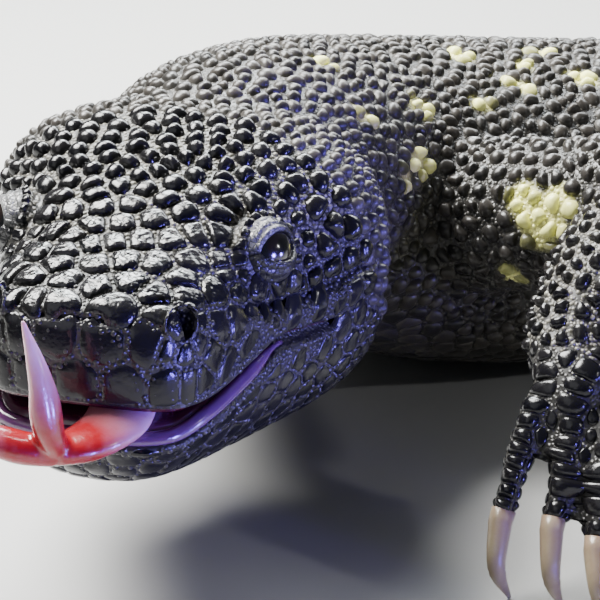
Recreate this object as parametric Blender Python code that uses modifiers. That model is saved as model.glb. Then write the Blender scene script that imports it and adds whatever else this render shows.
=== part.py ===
"""A beaded lizard at life size, as a still museum model: head turned to its left, tongue out.

Sizes and places are in millimetres until a mesh is made, which is in metres. +Z is up, the body
lies along Y with the head towards -Y, and the origin is on the floor under the middle of the belly.
A place on the spine is its distance from the snout along the curve of the back.
"""

import math

import bmesh
import bpy
import numpy as np
from mathutils import Matrix, Vector
from mathutils.bvhtree import BVHTree
from mathutils.kdtree import KDTree

MM = 0.001
GAP = 0.3
SEED = 5

# Driving dimensions
SNOUT_TO_VENT = 400.0
TAIL_LENGTH = 272.0
BODY_MIDDLE = 250.0
HEAD_YAW = math.radians(45.0)
HEAD_PITCH = math.radians(-7.0)
LIP_HEIGHT = 46.0
FLOOR_FLAT = 0.9

# The spine's heading, in degrees to the left of straight back, by distance from the snout
SPINE_HEADINGS = (
    (0, 45),
    (66, 45),
    (92, 34),
    (124, 12),
    (160, -6),
    (250, -4),
    (330, 8),
    (400, 6),
    (470, -18),
    (560, -52),
    (672, -84),
)

# The trunk's sections: distance from the snout, half width, top and underside above the floor
TRUNK_SECTIONS = (
    (52, 19.0, 63.0, 36.0),
    (70, 24.0, 67.0, 32.0),
    (84, 26.5, 68.0, 25.0),
    (102, 29.5, 66.0, 14.0),
    (124, 34.0, 61.5, 4.0),
    (150, 38.0, 56.5, 0.0),
    (200, 42.5, 50.5, -0.6),
    (260, 44.0, 48.0, -0.8),
    (320, 41.5, 47.5, -0.6),
    (362, 34.0, 46.5, 0.0),
    (395, 27.5, 44.0, 0.0),
    (430, 22.5, 41.0, -0.3),
    (490, 19.0, 35.5, -0.4),
    (560, 15.5, 29.0, -0.4),
    (620, 11.0, 21.0, -0.3),
    (655, 6.5, 12.5, 0.0),
    (672, 1.2, 4.6, 2.2),
)

# The head's sections behind the snout: half width, top and underside from the upper lip's level,
# height of the widest line, and how square the upper corners are
HEAD_SECTIONS = (
    (0.0, 2.0, 6.6, 2.0, 4.6, 2.0),
    (0.7, 8.2, 10.6, -2.0, 4.0, 2.5),
    (2.2, 12.2, 12.0, -8.0, 3.0, 2.8),
    (5.0, 15.0, 13.2, -12.5, 2.4, 2.9),
    (11.0, 17.2, 15.2, -16.0, 1.8, 3.0),
    (20.0, 19.4, 18.2, -18.0, 1.6, 2.9),
    (28.0, 21.6, 21.8, -19.0, 2.0, 2.9),
    (38.0, 25.4, 24.8, -19.6, 2.4, 3.0),
    (48.0, 29.6, 27.2, -19.6, 2.6, 3.1),
    (56.0, 31.0, 28.2, -19.2, 2.6, 3.2),
    (63.0, 29.2, 28.2, -18.0, 3.0, 3.1),
    (70.0, 24.6, 26.4, -15.0, 4.0, 2.8),
    (76.0, 18.0, 21.6, -9.0, 5.0, 2.5),
)

# The upper lip's edge, and how far the lower lip hangs below it
LIP_LINE = ((-6, -1.2), (0, -1.6), (4, -1.9), (10, -1.4), (19, 0.3), (29, 2.2), (37, 1.9), (42, 1.7))
MOUTH_GAPE = ((-6, 5.2), (0, 5.0), (4, 4.3), (10, 2.6), (19, 1.8), (27, 0.9), (36, 0.45), (42, 0.35))
MOUTH_CORNER = 42.0
JAW_HINGE = (54.0, -27.0)

EYE_PLACE = (17.8, 28.3, 14.9)
EYE_LOOK = (0.86, -0.38, 0.34)
EYE_RADIUS = 4.3
LID_RING = 4.5
LID_THICKNESS = 1.25
NOSTRIL_PLACE = (12.8, 5.0, 10.2)
NOSTRIL_RADIUS = 1.5
TONGUE_STEM = ((2.0, 22, 0.2), (4.4, 9, -2.9), (4.8, 1.0, -4.0), (2.8, -4.0, -4.9), (-0.4, -7.8, -5.4))
TONGUE_WIDTHS = ((0, 3.2), (0.4, 4.6), (0.62, 4.7), (0.85, 3.9), (1, 2.6))
TONGUE_TINES = (
    ((-0.4, -7.0, -5.4), (-0.4, -9.4, -2.0), (-1.2, -10.4, 4.5), (-4.1, -10.0, 12.8)),
    ((-0.4, -7.2, -5.4), (-4.5, -9.4, -4.6), (-9.5, -10.4, -3.0), (-17.0, -10.6, -0.6)),
)
TINE_RADII = ((0, 2.4), (0.3, 2.6), (0.6, 1.8), (1, 0.35))
TINE_SIDE = (0.3, 0.2, 1)
EAR_PLACE = (28.6, 59.5, 7.0)
EAR_SIZE = (2.4, 1.6, 5.5)

# Beads: width by region, height as a share of width
HEAD_BEAD = 5.3
FACE_SCALE = 7.0
BACK_BEAD = 13.0
LIMB_BEAD = 10.5
TAIL_BEAD = 11.5
BELLY_SCALE = 24.0
BEAD_RISE = 0.24
BODY_RISE = 0.17
FACE_RISE = 0.25

# Places where the skin is parted behind each length of the body, by distance from the snout
TRUNK_CUTS = (
    ("head", 71.0),
    ("neck", 112.0),
    ("chest", 262.0),
    ("loins", 404.0),
    ("tail_base", 500.0),
    ("tail_middle", 590.0),
)
ROOM_GROW = 5.5
ROOM_STEP = 6.0
ROOM_END = 12.0
BLOCK_SIZE = 1200.0
LIMB_STEPS = 60

VOXEL = 1.3
RELAXING_ROUNDS = 24
UNDERSIDE = -0.3
SHARP_ANGLE = math.radians(50.0)
CROWN_EDGE = 5.0

# Limbs: shoulder or hip, elbow or knee, wrist or ankle, and palm, with half widths and half heights
# at the root, halfway, the bend, halfway, the wrist and the palm
LIMBS = {
    "left_arm": {
        "joints": ((16, -121, 36), (54, -108, 46.5), (63.8, -130.8, 32.5), (73.9, -132.7, 26.5)),
        "radii": (13.5, 12.6, 12.0, 12.0, 9.2, 10.5),
        "heights": (14.0, 12.8, 12.2, 11.6, 7.8, 5.6),
        "cut": 25.0,
    },
    "right_arm": {
        "joints": ((-26, -119, 29), (-61, -104, 23), (-70, -136, 11), (-73, -151, 5.4)),
        "radii": (13.5, 12.4, 12.0, 11.6, 8.8, 10.5),
        "heights": (14.0, 12.6, 12.2, 11.2, 7.6, 5.6),
        "cut": 27.0,
    },
    "left_leg": {
        "joints": ((20, 118, 27), (62, 100, 22), (70, 136, 11), (84, 131, 5.4)),
        "radii": (16.5, 15.0, 13.6, 12.0, 9.0, 10.5),
        "heights": (16.5, 15.0, 13.4, 11.6, 7.8, 5.6),
        "cut": 33.0,
    },
    "right_leg": {
        "joints": ((-22, 120, 27), (-60, 144, 22), (-66, 106, 11), (-79, 98, 5.4)),
        "radii": (16.5, 15.0, 13.6, 12.0, 9.0, 10.5),
        "heights": (16.5, 15.0, 13.4, 11.6, 7.8, 5.6),
        "cut": 33.0,
    },
}

# Feet: where the toes point in plan, each toe's turn from that and its length, how far apart the knuckles
# stand for each degree, and the claws' length
FEET = {
    "left_hand": {
        "limb": "left_arm",
        "aim": -46.0,
        "toes": ((-14, 17.0), (-6, 17.0), (1, 19.0), (8, 18.0), (18, 15.0)),
        "spread": 0.72,
        "claw": 15.0,
        "raised": True,
    },
    "right_hand": {
        "limb": "right_arm",
        "aim": -100.0,
        "toes": ((-50, 15.0), (-24, 20.0), (0, 22.0), (22, 20.0), (46, 15.0)),
        "spread": 0.18,
        "claw": 10.5,
        "raised": False,
    },
    "left_foot": {
        "limb": "left_leg",
        "aim": -20.0,
        "toes": ((-46, 14.0), (-22, 20.0), (0, 23.0), (24, 22.0), (54, 16.0)),
        "spread": 0.18,
        "claw": 10.0,
        "raised": False,
    },
    "right_foot": {
        "limb": "right_leg",
        "aim": -148.0,
        "toes": ((-54, 16.0), (-24, 22.0), (0, 23.0), (23, 20.0), (46, 14.0)),
        "spread": 0.18,
        "claw": 10.0,
        "raised": False,
    },
}
TOE_ROOT = 7.0
TOE_RADIUS = 3.5
TOE_TIP = 2.7
TOE_SIDES = 6
TOE_DROP = 0.8
SCUTES_PER_TOE = 3
CLAW_ROOT = 2.2
CLAW_SIDES = 5
CLAW_STEPS = 6
CLAW_BASE = 1.3
TIP_RADIUS = 0.45

COLOURS = {
    "skin": ((0.030, 0.028, 0.027, 1.0), 0.45),
    "face": ((0.012, 0.012, 0.014, 1.0), 0.25),
    "eye": ((0.008, 0.006, 0.006, 1.0), 0.05),
    "tongue": ((0.80, 0.22, 0.28, 1.0), 0.30),
    "claw": ((0.62, 0.50, 0.36, 1.0), 0.35),
}


def clear_scene():
    for thing in list(bpy.data.objects):
        bpy.data.objects.remove(thing, do_unlink=True)


def eased(stations, where):
    """Values at the places `where` on a smooth curve through the stations, without overshoot."""
    table = np.array(stations, float)
    place, value = table[:, 0], table[:, 1:]
    step = np.diff(place)[:, None]
    slope = np.diff(value, axis=0) / step
    product = slope[1:] * slope[:-1]
    total = np.where(np.abs(slope[1:] + slope[:-1]) < 1e-9, 1.0, slope[1:] + slope[:-1])
    inner = np.where(product > 0, 2 * product / total, 0.0)
    tangent = np.vstack([slope[:1], inner, slope[-1:]])
    where = np.clip(np.atleast_1d(np.asarray(where, float)), place[0], place[-1])
    index = np.clip(np.searchsorted(place, where, side="right") - 1, 0, len(place) - 2)
    span = step[index]
    t = (where - place[index])[:, None] / span
    return (
        (2 * t**3 - 3 * t**2 + 1) * value[index]
        + (t**3 - 2 * t**2 + t) * span * tangent[index]
        + (3 * t**2 - 2 * t**3) * value[index + 1]
        + (t**3 - t**2) * span * tangent[index + 1]
    )


def spine_table():
    """Plan position and heading of the spine at each millimetre, with the belly's middle at the origin."""
    places = np.arange(0.0, SNOUT_TO_VENT + TAIL_LENGTH + 1.0)
    heading = np.radians(eased(SPINE_HEADINGS, places)[:, 0])
    steps = np.stack([-np.sin(heading), np.cos(heading)], axis=1)
    plan = np.vstack([[0, 0], np.cumsum((steps[1:] + steps[:-1]) / 2, axis=0)])
    return places, plan - plan[int(BODY_MIDDLE)], heading


SPINE_PLACES, SPINE_PLAN, SPINE_HEADING = spine_table()


def spine_at(place):
    """(plan x, plan y, heading) of the spine at a distance from the snout."""
    x = np.interp(place, SPINE_PLACES, SPINE_PLAN[:, 0])
    y = np.interp(place, SPINE_PLACES, SPINE_PLAN[:, 1])
    return x, y, np.interp(place, SPINE_PLACES, SPINE_HEADING)


def head_matrix():
    """From the head's own axes (left, back, up, from the upper lip's front) to the world, in millimetres."""
    x, y, _ = spine_at(0.0)
    turn = Matrix.Rotation(HEAD_YAW, 4, "Z") @ Matrix.Rotation(HEAD_PITCH, 4, "X")
    return Matrix.Translation((x, y, LIP_HEIGHT)) @ turn


HEAD = head_matrix()


def head_point(local):
    return HEAD @ Vector(local)


def new_object(name, points, faces, collection):
    """A mesh object from points in millimetres, its faces turned outwards."""
    mesh = bpy.data.meshes.new(name)
    mesh.from_pydata([tuple(p) for p in np.asarray(points) * MM], [], [tuple(f) for f in faces])
    work = bmesh.new()
    work.from_mesh(mesh)
    bmesh.ops.recalc_face_normals(work, faces=work.faces)
    work.to_mesh(mesh)
    work.free()
    made = bpy.data.objects.new(name, mesh)
    collection.objects.link(made)
    return made


def loft(name, rings, collection):
    """A closed tube through rings with the same number of points, with a point capping each end."""
    rings = [np.asarray(ring, float) for ring in rings]
    sides = len(rings[0])
    points = np.vstack(rings + [rings[0].mean(axis=0)[None], rings[-1].mean(axis=0)[None]])
    first, last = len(points) - 2, len(points) - 1
    faces = []
    for row in range(len(rings) - 1):
        for k in range(sides):
            a, b = row * sides + k, row * sides + (k + 1) % sides
            faces.append((a, b, b + sides, a + sides))
    end = (len(rings) - 1) * sides
    for k in range(sides):
        faces.append((first, (k + 1) % sides, k))
        faces.append((last, end + k, end + (k + 1) % sides))
    return new_object(name, points, faces, collection)


def section(half_width, top, bottom, middle, upper_square, lower_square, sides):
    """One closed outline across a body, as (sideways, up) pairs."""
    angle = np.arange(sides) * 2 * math.pi / sides
    power = np.where(np.sin(angle) > 0, 2 / upper_square, 2 / lower_square)
    side = half_width * np.sign(np.cos(angle)) * np.abs(np.cos(angle)) ** power
    height = np.where(np.sin(angle) > 0, top - middle, middle - bottom)
    return side, middle + height * np.sign(np.sin(angle)) * np.abs(np.sin(angle)) ** power


def trunk_rings():
    """Outlines from inside the head to the tip of the tail."""
    rings = []
    for place in np.linspace(TRUNK_SECTIONS[0][0], TRUNK_SECTIONS[-1][0], 150):
        half_width, top, bottom = eased(TRUNK_SECTIONS, place)[0]
        middle = bottom + 0.42 * (top - bottom)
        side, up = section(half_width, top, bottom, middle, 2.1, 2.5, 40)
        x, y, heading = spine_at(place)
        ring = [(x + a * math.cos(heading), y + a * math.sin(heading), b) for a, b in zip(side, up)]
        rings.append(ring)
    return rings


def head_rings():
    """Outlines of the closed head from the snout back into the neck."""
    rings = []
    back = HEAD_SECTIONS[-1][0]
    for place in back * np.linspace(0.0, 1.0, 60) ** 1.5:
        half_width, top, bottom, middle, square = eased(HEAD_SECTIONS, place)[0]
        side, up = section(half_width, top, bottom, middle, square, 2.3, 40)
        rings.append([tuple(head_point((a, place, b))) for a, b in zip(side, up)])
    return rings


def along(points, count):
    """Evenly spread points on a smooth curve through a few points."""
    points = np.array(points, float)
    lengths = np.linalg.norm(np.diff(points, axis=0), axis=1)
    place = np.concatenate([[0], np.cumsum(lengths)])
    tangent = np.gradient(points, place, axis=0)
    where = np.linspace(0, place[-1], count)
    index = np.clip(np.searchsorted(place, where, side="right") - 1, 0, len(place) - 2)
    span = np.diff(place)[index][:, None]
    t = (where - place[index])[:, None] / span
    return (
        (2 * t**3 - 3 * t**2 + 1) * points[index]
        + (t**3 - 2 * t**2 + t) * span * tangent[index]
        + (3 * t**2 - 2 * t**3) * points[index + 1]
        + (t**3 - t**2) * span * tangent[index + 1]
    )


def tube_rings(centres, radii, sides, flatness=1.0, upright=(0, 0, 1)):
    """Round or flattened outlines across a path; flatness scales the height of each."""
    centres = np.asarray(centres, float)
    ways = np.gradient(centres, axis=0)
    rings = []
    for centre, way, radius, flat in zip(centres, ways, radii, np.broadcast_to(flatness, len(radii))):
        way = Vector(way).normalized()
        across = Vector(upright).cross(way).normalized()
        up = way.cross(across)
        ring = []
        for k in range(sides):
            angle = 2 * math.pi * (k + 0.5) / sides
            offset = across * (radius * math.cos(angle)) + up * (radius * flat * math.sin(angle))
            ring.append(Vector(centre) + offset)
        rings.append(ring)
    return rings


def limb_stations(limb, count):
    """Centre line of a limb from its root through the palm, with half widths and half heights."""
    root, bend, wrist, palm = (np.array(p, float) for p in limb["joints"])
    places = (root, root + (bend - root) * 0.5, bend, bend + (wrist - bend) * 0.55, wrist, palm)
    centres = along(places, count)
    lengths = np.linalg.norm(np.diff(places, axis=0), axis=1)
    station = np.concatenate([[0], np.cumsum(lengths)]) / lengths.sum()
    at_root, upper, at_bend, lower, at_wrist, at_palm = zip(station, limb["radii"], limb["heights"])
    table = [(share, wide, tall) for share, wide, tall in (at_root, upper, at_bend, lower, at_wrist, at_palm)]
    sizes = eased(table, np.linspace(0, 1, count))
    return centres, sizes[:, 0], sizes[:, 1]


def limb_rings(limb):
    centres, wide, tall = limb_stations(limb, LIMB_STEPS)
    return tube_rings(centres, wide, 20, tall / wide)


def apply_modifiers(thing):
    """Puts the evaluated mesh in place of the object's own."""
    bpy.context.view_layer.update()
    graph = bpy.context.evaluated_depsgraph_get()
    made = bpy.data.meshes.new_from_object(thing.evaluated_get(graph))
    thing.modifiers.clear()
    thing.data = made


def smooth_hide(collection):
    """The whole skin, without feet, as one evenly fine closed mesh: (points in mm, triangles, normals)."""
    pieces = [loft("trunk", trunk_rings(), collection), loft("skull", head_rings(), collection)]
    pieces += [loft(name, limb_rings(limb), collection) for name, limb in LIMBS.items()]
    work = bmesh.new()
    for piece in pieces:
        work.from_mesh(piece.data)
        bpy.data.objects.remove(piece)
    mesh = bpy.data.meshes.new("hide")
    work.to_mesh(mesh)
    work.free()
    hide = bpy.data.objects.new("hide", mesh)
    collection.objects.link(hide)
    remesh = hide.modifiers.new("fuse", "REMESH")
    remesh.mode = "VOXEL"
    remesh.voxel_size = VOXEL * MM
    soften = hide.modifiers.new("soften", "SMOOTH")
    soften.factor = 0.5
    soften.iterations = 9
    split = hide.modifiers.new("split", "TRIANGULATE")
    split.quad_method = "FIXED"
    apply_modifiers(hide)
    data = hide.data
    points = np.empty(len(data.vertices) * 3)
    data.vertices.foreach_get("co", points)
    normals = np.empty(len(data.vertices) * 3)
    data.vertices.foreach_get("normal", normals)
    faces = np.empty(len(data.polygons) * 3, int)
    data.polygons.foreach_get("vertices", faces)
    bpy.data.objects.remove(hide)
    return points.reshape(-1, 3) / MM, faces.reshape(-1, 3), normals.reshape(-1, 3)


def head_local(points):
    inverse = np.array(HEAD.inverted())
    return points @ inverse[:3, :3].T + inverse[:3, 3]


def bead_width(points, normals):
    """The width of the bead or scale that grows at each point."""
    local = head_local(points)
    underside = np.clip((-normals[:, 2] - 0.25) / 0.4, 0, 1)
    limb = np.abs(points[:, 0] - np.interp(points[:, 1], SPINE_PLAN[60:, 1], SPINE_PLAN[60:, 0])) > 44
    width = BACK_BEAD + (BELLY_SCALE - BACK_BEAD) * underside
    tail = np.clip((points[:, 1] - 150) / 170, 0, 1)
    width = width + (TAIL_BEAD - width) * tail
    width = np.where(limb & (points[:, 1] < 180), LIMB_BEAD, width)
    crown = np.clip((local[:, 2] - 1.0) / 4.0, 0, 1)
    head_width = FACE_SCALE + (HEAD_BEAD - FACE_SCALE) * crown
    on_head = np.clip((80 - local[:, 1]) / 16, 0, 1) * (np.abs(local[:, 0]) < 42) * (local[:, 2] > -30)
    return width + (head_width - width) * on_head


def relaxed_seeds(points, width):
    """The beads' middles, as indices of points spread so that each has room for its own width."""
    random = np.random.default_rng(SEED)
    chance = width**-2.0
    area_per_point = VOXEL**2
    count = int((chance * area_per_point / 0.86).sum())
    seeds = random.choice(len(points), count, replace=False, p=chance / chance.sum())
    weight = width**-4.0
    finder = point_finder(points)
    for _ in range(RELAXING_ROUNDS):
        owner = nearest(points[seeds], points)
        total = np.bincount(owner, weight)
        sums = [np.bincount(owner, weight * points[:, axis]) for axis in range(3)]
        moved = np.stack(sums, axis=1) / total[:, None]
        seeds = np.unique([finder.find(p)[1] for p in moved])
    return seeds


def point_finder(points):
    """A search tree over the points."""
    tree = KDTree(len(points))
    for k, p in enumerate(points):
        tree.insert(p, k)
    tree.balance()
    return tree


def nearest(centres, points):
    """For each point, the index of the nearest centre."""
    tree = point_finder(centres)
    return np.array([tree.find(p)[1] for p in points])


def cell_corners(owner, faces):
    """Triples of neighbouring beads that meet at a corner, wound outwards."""
    labels = owner[faces]
    labels = labels[
        (labels[:, 0] != labels[:, 1])
        & (labels[:, 1] != labels[:, 2])
        & (labels[:, 0] != labels[:, 2])
    ]
    found = {}
    for a, b, c in labels.tolist():
        least = min(a, b, c)
        turned = {a: (a, b, c), b: (b, c, a), c: (c, a, b)}[least]
        key = (turned[0], *sorted(turned[1:]))
        found[key] = found.get(key, 0) + (1 if turned[1] < turned[2] else -1)
    corners = []
    for (a, b, c), sign in found.items():
        if sign:
            corners.append((a, b, c) if sign > 0 else (a, c, b))
    return corners


def beaded_hide(points, faces, normals, collection):
    """The skin as one closed mesh of cells, one for each bead, raised in the middle."""
    width = bead_width(points, normals)
    seeds = relaxed_seeds(points, width)
    centres = points[seeds]
    corners = cell_corners(nearest(centres, points), faces)
    surface = BVHTree.FromPolygons([Vector(p) for p in points], faces.tolist())
    local = head_local(centres)
    work = bmesh.new()
    corner_verts = []
    for corner in corners:
        middle = Vector(centres[list(corner)].mean(axis=0))
        corner_verts.append(work.verts.new(surface.find_nearest(middle)[0]))
    rings = {}
    for k, (a, b, c) in enumerate(corners):
        for owner_cell, before, after in ((a, b, c), (b, c, a), (c, a, b)):
            rings.setdefault(owner_cell, {})[before] = (after, k)
    raised = []
    for i, ring in sorted(rings.items()):
        start = min(ring)
        order, at = [], start
        while at in ring and len(order) < len(ring):
            at, k = ring[at]
            order.append(corner_verts[k])
        if at != start or len(order) < 3:
            continue
        face = work.faces.new(order)
        raised.append((face, bead_rise(local[i], normals[seeds[i]], width[seeds[i]])))
    for face, rise in raised:
        bmesh.ops.poke(work, faces=[face], offset=rise)
    for v in work.verts:
        if v.co.z < FLOOR_FLAT:
            v.co.z = 0.0
    bmesh.ops.scale(work, vec=(MM, MM, MM), verts=work.verts)
    bmesh.ops.recalc_face_normals(work, faces=work.faces)
    mesh = bpy.data.meshes.new("hide")
    work.to_mesh(mesh)
    work.free()
    hide = bpy.data.objects.new("hide", mesh)
    collection.objects.link(hide)
    return hide


def bead_rise(local, normal, width):
    """How high one cell's middle rises, by its place: domes on the crown, flat scales on face and belly."""
    on_head = local[1] < 70 and abs(local[0]) < 34 and local[2] > -24
    if on_head and local[2] < CROWN_EDGE:
        return FACE_RISE
    if on_head:
        return width * BEAD_RISE
    return width * BODY_RISE if normal[2] > UNDERSIDE else 0.0


def half_space(place, way, side, collection):
    """A large block filling one side of a plane (1 after it, -1 before it) and half the gap beyond it."""
    bpy.ops.mesh.primitive_cube_add(size=BLOCK_SIZE * MM)
    block = bpy.context.object
    for owner in list(block.users_collection):
        owner.objects.unlink(block)
    collection.objects.link(block)
    way = Vector(way).normalized()
    centre = Vector(place) + way * side * (BLOCK_SIZE - GAP) / 2
    turn = way.to_track_quat("Z", "Y").to_matrix().to_4x4()
    block.data.transform(Matrix.Translation(centre * MM) @ turn)
    return block


def cut_across(thing, name, place, way, cutters):
    """Cuts the part of an object that lies before a plane off it, as a new object, and leaves a gap."""
    cut_off = bpy.data.objects.new(name, thing.data.copy())
    thing.users_collection[0].objects.link(cut_off)
    half_space(place, way, -1, cutters)
    boolean(thing, cutters, "DIFFERENCE")
    half_space(place, way, 1, cutters)
    boolean(cut_off, cutters, "DIFFERENCE")
    return cut_off


def boolean(target, collection, operation):
    """Applies one Boolean of a whole collection to the object, and removes the collection's objects."""
    cut = target.modifiers.new("boolean", "BOOLEAN")
    cut.operation = operation
    if operation == "INTERSECT":
        cut.object = collection.objects[0]
    else:
        cut.operand_type = "COLLECTION"
        cut.collection = collection
    apply_modifiers(target)
    for used in list(collection.objects):
        bpy.data.objects.remove(used)


def loose_parts(thing, collection):
    """Each closed surface of the object as an object of its own, largest first. The object is removed."""
    work = bmesh.new()
    work.from_mesh(thing.data)
    work.verts.ensure_lookup_table()
    seen, groups = set(), []
    for start in work.verts:
        if start.index in seen:
            continue
        group, stack = [], [start]
        seen.add(start.index)
        while stack:
            v = stack.pop()
            group.append(v.index)
            for edge in v.link_edges:
                other = edge.other_vert(v)
                if other.index not in seen:
                    seen.add(other.index)
                    stack.append(other)
        groups.append(group)
    points = np.array([v.co for v in work.verts]) / MM
    faces = [[v.index for v in f.verts] for f in work.faces]
    work.free()
    made = []
    for number, group in enumerate(sorted(groups, key=len, reverse=True)):
        index = {v: k for k, v in enumerate(group)}
        own = [[index[v] for v in f] for f in faces if f[0] in index]
        if len(own) > 3:
            made.append(new_object(f"piece_{number}", points[group], own, collection))
    bpy.data.objects.remove(thing)
    return made


def keep_largest(thing, collection):
    """Drops any loose scrap, keeping the object's largest closed surface and its name."""
    name = thing.name
    parts = loose_parts(thing, collection)
    for scrap in parts[1:]:
        bpy.data.objects.remove(scrap)
    parts[0].name = name
    return parts[0]


def limb_room(name, extra, collection):
    """A roomy convex block round one limb, from a flat face a little way out of the body to past its end."""
    start = LIMBS[name]["cut"]
    centres, _, _ = limb_stations(LIMBS[name], LIMB_STEPS)
    travelled = np.concatenate([[0], np.cumsum(np.linalg.norm(np.diff(centres, axis=0), axis=1))])
    begin = np.array([np.interp(start - extra, travelled, centres[:, axis]) for axis in range(3)])
    later = centres[travelled > start + ROOM_STEP][::6]
    way = centres[-1] - centres[-2]
    path = np.vstack([begin, later, centres[-1] + way / np.linalg.norm(way) * ROOM_END])
    reach = np.full(len(path), max(LIMBS[name]["radii"][1:]) + ROOM_GROW + extra)
    work = bmesh.new()
    for ring in tube_rings(path, reach, 16):
        for point in ring:
            work.verts.new(point * MM)
    hull = bmesh.ops.convex_hull(work, input=work.verts)
    inside = [v for v in hull["geom_interior"] if isinstance(v, bmesh.types.BMVert)]
    bmesh.ops.delete(work, geom=inside, context="VERTS")
    bmesh.ops.recalc_face_normals(work, faces=work.faces)
    mesh = bpy.data.meshes.new("room")
    work.to_mesh(mesh)
    work.free()
    room = bpy.data.objects.new("room", mesh)
    collection.objects.link(room)
    return room


def part_limbs(hide, lizard, cutters):
    """Takes the four limbs off the body and parts each at its bend and wrist: {node name: object}."""
    named = {}
    for name in LIMBS:
        piece = bpy.data.objects.new(name, hide.data.copy())
        lizard.objects.link(piece)
        limb_room(name, 0.0, cutters)
        boolean(piece, cutters, "INTERSECT")
        named[name] = keep_largest(piece, lizard)
    for name in LIMBS:
        limb_room(name, GAP, cutters)
    boolean(hide, cutters, "DIFFERENCE")
    parted = {}
    for name, limb in LIMBS.items():
        side, kind = name.split("_")
        upper, lower, end = {"arm": ("upper_arm", "forearm", "hand"), "leg": ("thigh", "shin", "foot")}[kind]
        _, bend, wrist, _ = limb["joints"]
        ways = [(Vector(b) - Vector(a)).normalized() for a, b in zip(limb["joints"], limb["joints"][1:])]
        rest = named[name]
        parted[f"{side}_{upper}"] = cut_across(rest, f"{side}_{upper}", bend, ways[0] + ways[1], cutters)
        parted[f"{side}_{lower}"] = cut_across(rest, f"{side}_{lower}", wrist, ways[1] + ways[2], cutters)
        rest.name = f"{side}_{end}"
        parted[f"{side}_{end}"] = rest
    return parted


def part_trunk(hide, cutters):
    """Parts the body across the spine from the head back: {node name: object}."""
    parted = {}
    for name, place in TRUNK_CUTS:
        x, y, heading = spine_at(place)
        way = Vector((-math.sin(heading), math.cos(heading), 0))
        if name == "head":
            way = HEAD.to_3x3() @ Vector((0, 1, 0))
        parted[name] = cut_across(hide, name, (x, y, LIP_HEIGHT), way, cutters)
    hide.name = "tail_tip"
    parted["tail_tip"] = hide
    return parted


def profile_prism(name, outline, half_width, collection):
    """A plate across the head whose outline is drawn in side view, as (back, up) pairs."""
    outline = np.array(outline, float)
    count = len(outline)
    points = [tuple(head_point((side, u, z))) for side in (-half_width, half_width) for u, z in outline]
    faces = [tuple(range(count)), tuple(range(2 * count - 1, count - 1, -1))]
    faces += [(k, (k + 1) % count, (k + 1) % count + count, k + count) for k in range(count)]
    return new_object(name, points, faces, collection)


def jaw_outline(clearance):
    """The lower jaw's room in side view: below the lower lip, and ahead of a line from the mouth's corner."""
    backs = np.linspace(-6, MOUTH_CORNER, 14)
    lips = eased(LIP_LINE, backs)[:, 0]
    gape = eased(MOUTH_GAPE, backs)[:, 0]
    lower = [(u, z - g * (0 if clearance else 1)) for u, z, g in zip(backs, lips, gape)]
    shift = GAP if clearance else 0.0
    hinge = (JAW_HINGE[0] + shift, JAW_HINGE[1])
    corner = (MOUTH_CORNER + shift, lower[-1][1] + (0 if clearance else -GAP))
    return lower[:-1] + [corner, hinge, (-6, JAW_HINGE[1])]


def ball(name, centre, radii, rotation, collection, segments=14, rings=9):
    """An ellipsoid in place, from a sphere."""
    bpy.ops.mesh.primitive_uv_sphere_add(segments=segments, ring_count=rings, radius=1)
    made = bpy.context.object
    made.name = name
    for owner in list(made.users_collection):
        owner.objects.unlink(made)
    collection.objects.link(made)
    scale = Matrix.Diagonal((*(r * MM for r in radii), 1))
    made.data.transform(Matrix.Translation(Vector(centre) * MM) @ rotation @ scale)
    return made


def mirrored(place, side):
    return (place[0] * side, place[1], place[2])


def facing(direction):
    """A turn that points +Z along a direction given in the head's axes."""
    return (HEAD.to_3x3() @ Vector(direction)).to_track_quat("Z", "Y").to_matrix().to_4x4()


def lid_ring(side, collection):
    """The raised ring of lid round one eye."""
    bpy.ops.mesh.primitive_torus_add(
        major_radius=LID_RING * MM,
        minor_radius=LID_THICKNESS * MM,
        major_segments=14,
        minor_segments=6,
    )
    ring = bpy.context.object
    for owner in list(ring.users_collection):
        owner.objects.unlink(ring)
    collection.objects.link(ring)
    out = Vector(mirrored(EYE_LOOK, side)).normalized()
    centre = Vector(mirrored(EYE_PLACE, side)) + out * 1.2
    ring.data.transform(Matrix.Translation(head_point(centre) * MM) @ facing(out))
    return ring


def eye(side, name, collection):
    centre = head_point(mirrored(EYE_PLACE, side))
    return ball(name, centre, [EYE_RADIUS] * 3, facing(mirrored(EYE_LOOK, side)), collection)


def head_cutters(collection):
    """What is taken out of the head: eye sockets, nostrils and ear slits."""
    for side in (1, -1):
        socket = head_point(mirrored(EYE_PLACE, side))
        turn = facing(mirrored(EYE_LOOK, side))
        ball("socket", socket, [EYE_RADIUS + GAP] * 3, turn, collection)
        nostril = head_point(mirrored(NOSTRIL_PLACE, side))
        ball("nostril", nostril, [NOSTRIL_RADIUS] * 3, Matrix.Identity(4), collection, 8, 6)
        ear = head_point(mirrored(EAR_PLACE, side))
        ball("ear", ear, EAR_SIZE, HEAD.to_3x3().to_4x4(), collection, 10, 6)


def tongue_loft(name, grow, collection):
    """The tongue from inside the mouth to its fork, with both tines, as closed tubes."""
    stem = along([head_point(p) for p in TONGUE_STEM], 11)
    shares = np.linspace(0, 1, 11)
    widths = eased(TONGUE_WIDTHS, shares)[:, 0]
    loft(name, tube_rings(stem, widths + grow, 10, 0.36 + 0.05 * grow), collection)
    for tine in TONGUE_TINES:
        path = along([head_point(p) for p in tine], 11)
        radii = eased(TINE_RADII, shares)[:, 0]
        loft(name, tube_rings(path, radii + grow, 6, 0.8, TINE_SIDE), collection)


def scute_radii(radius, tip, scutes):
    """Radii along a toe, with a step at each scute."""
    radii = []
    for k in range(scutes):
        base = radius + (tip - radius) * k / scutes
        radii += [base * 0.86, base * 1.06]
    return np.array(radii + [tip * 0.9])


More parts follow.
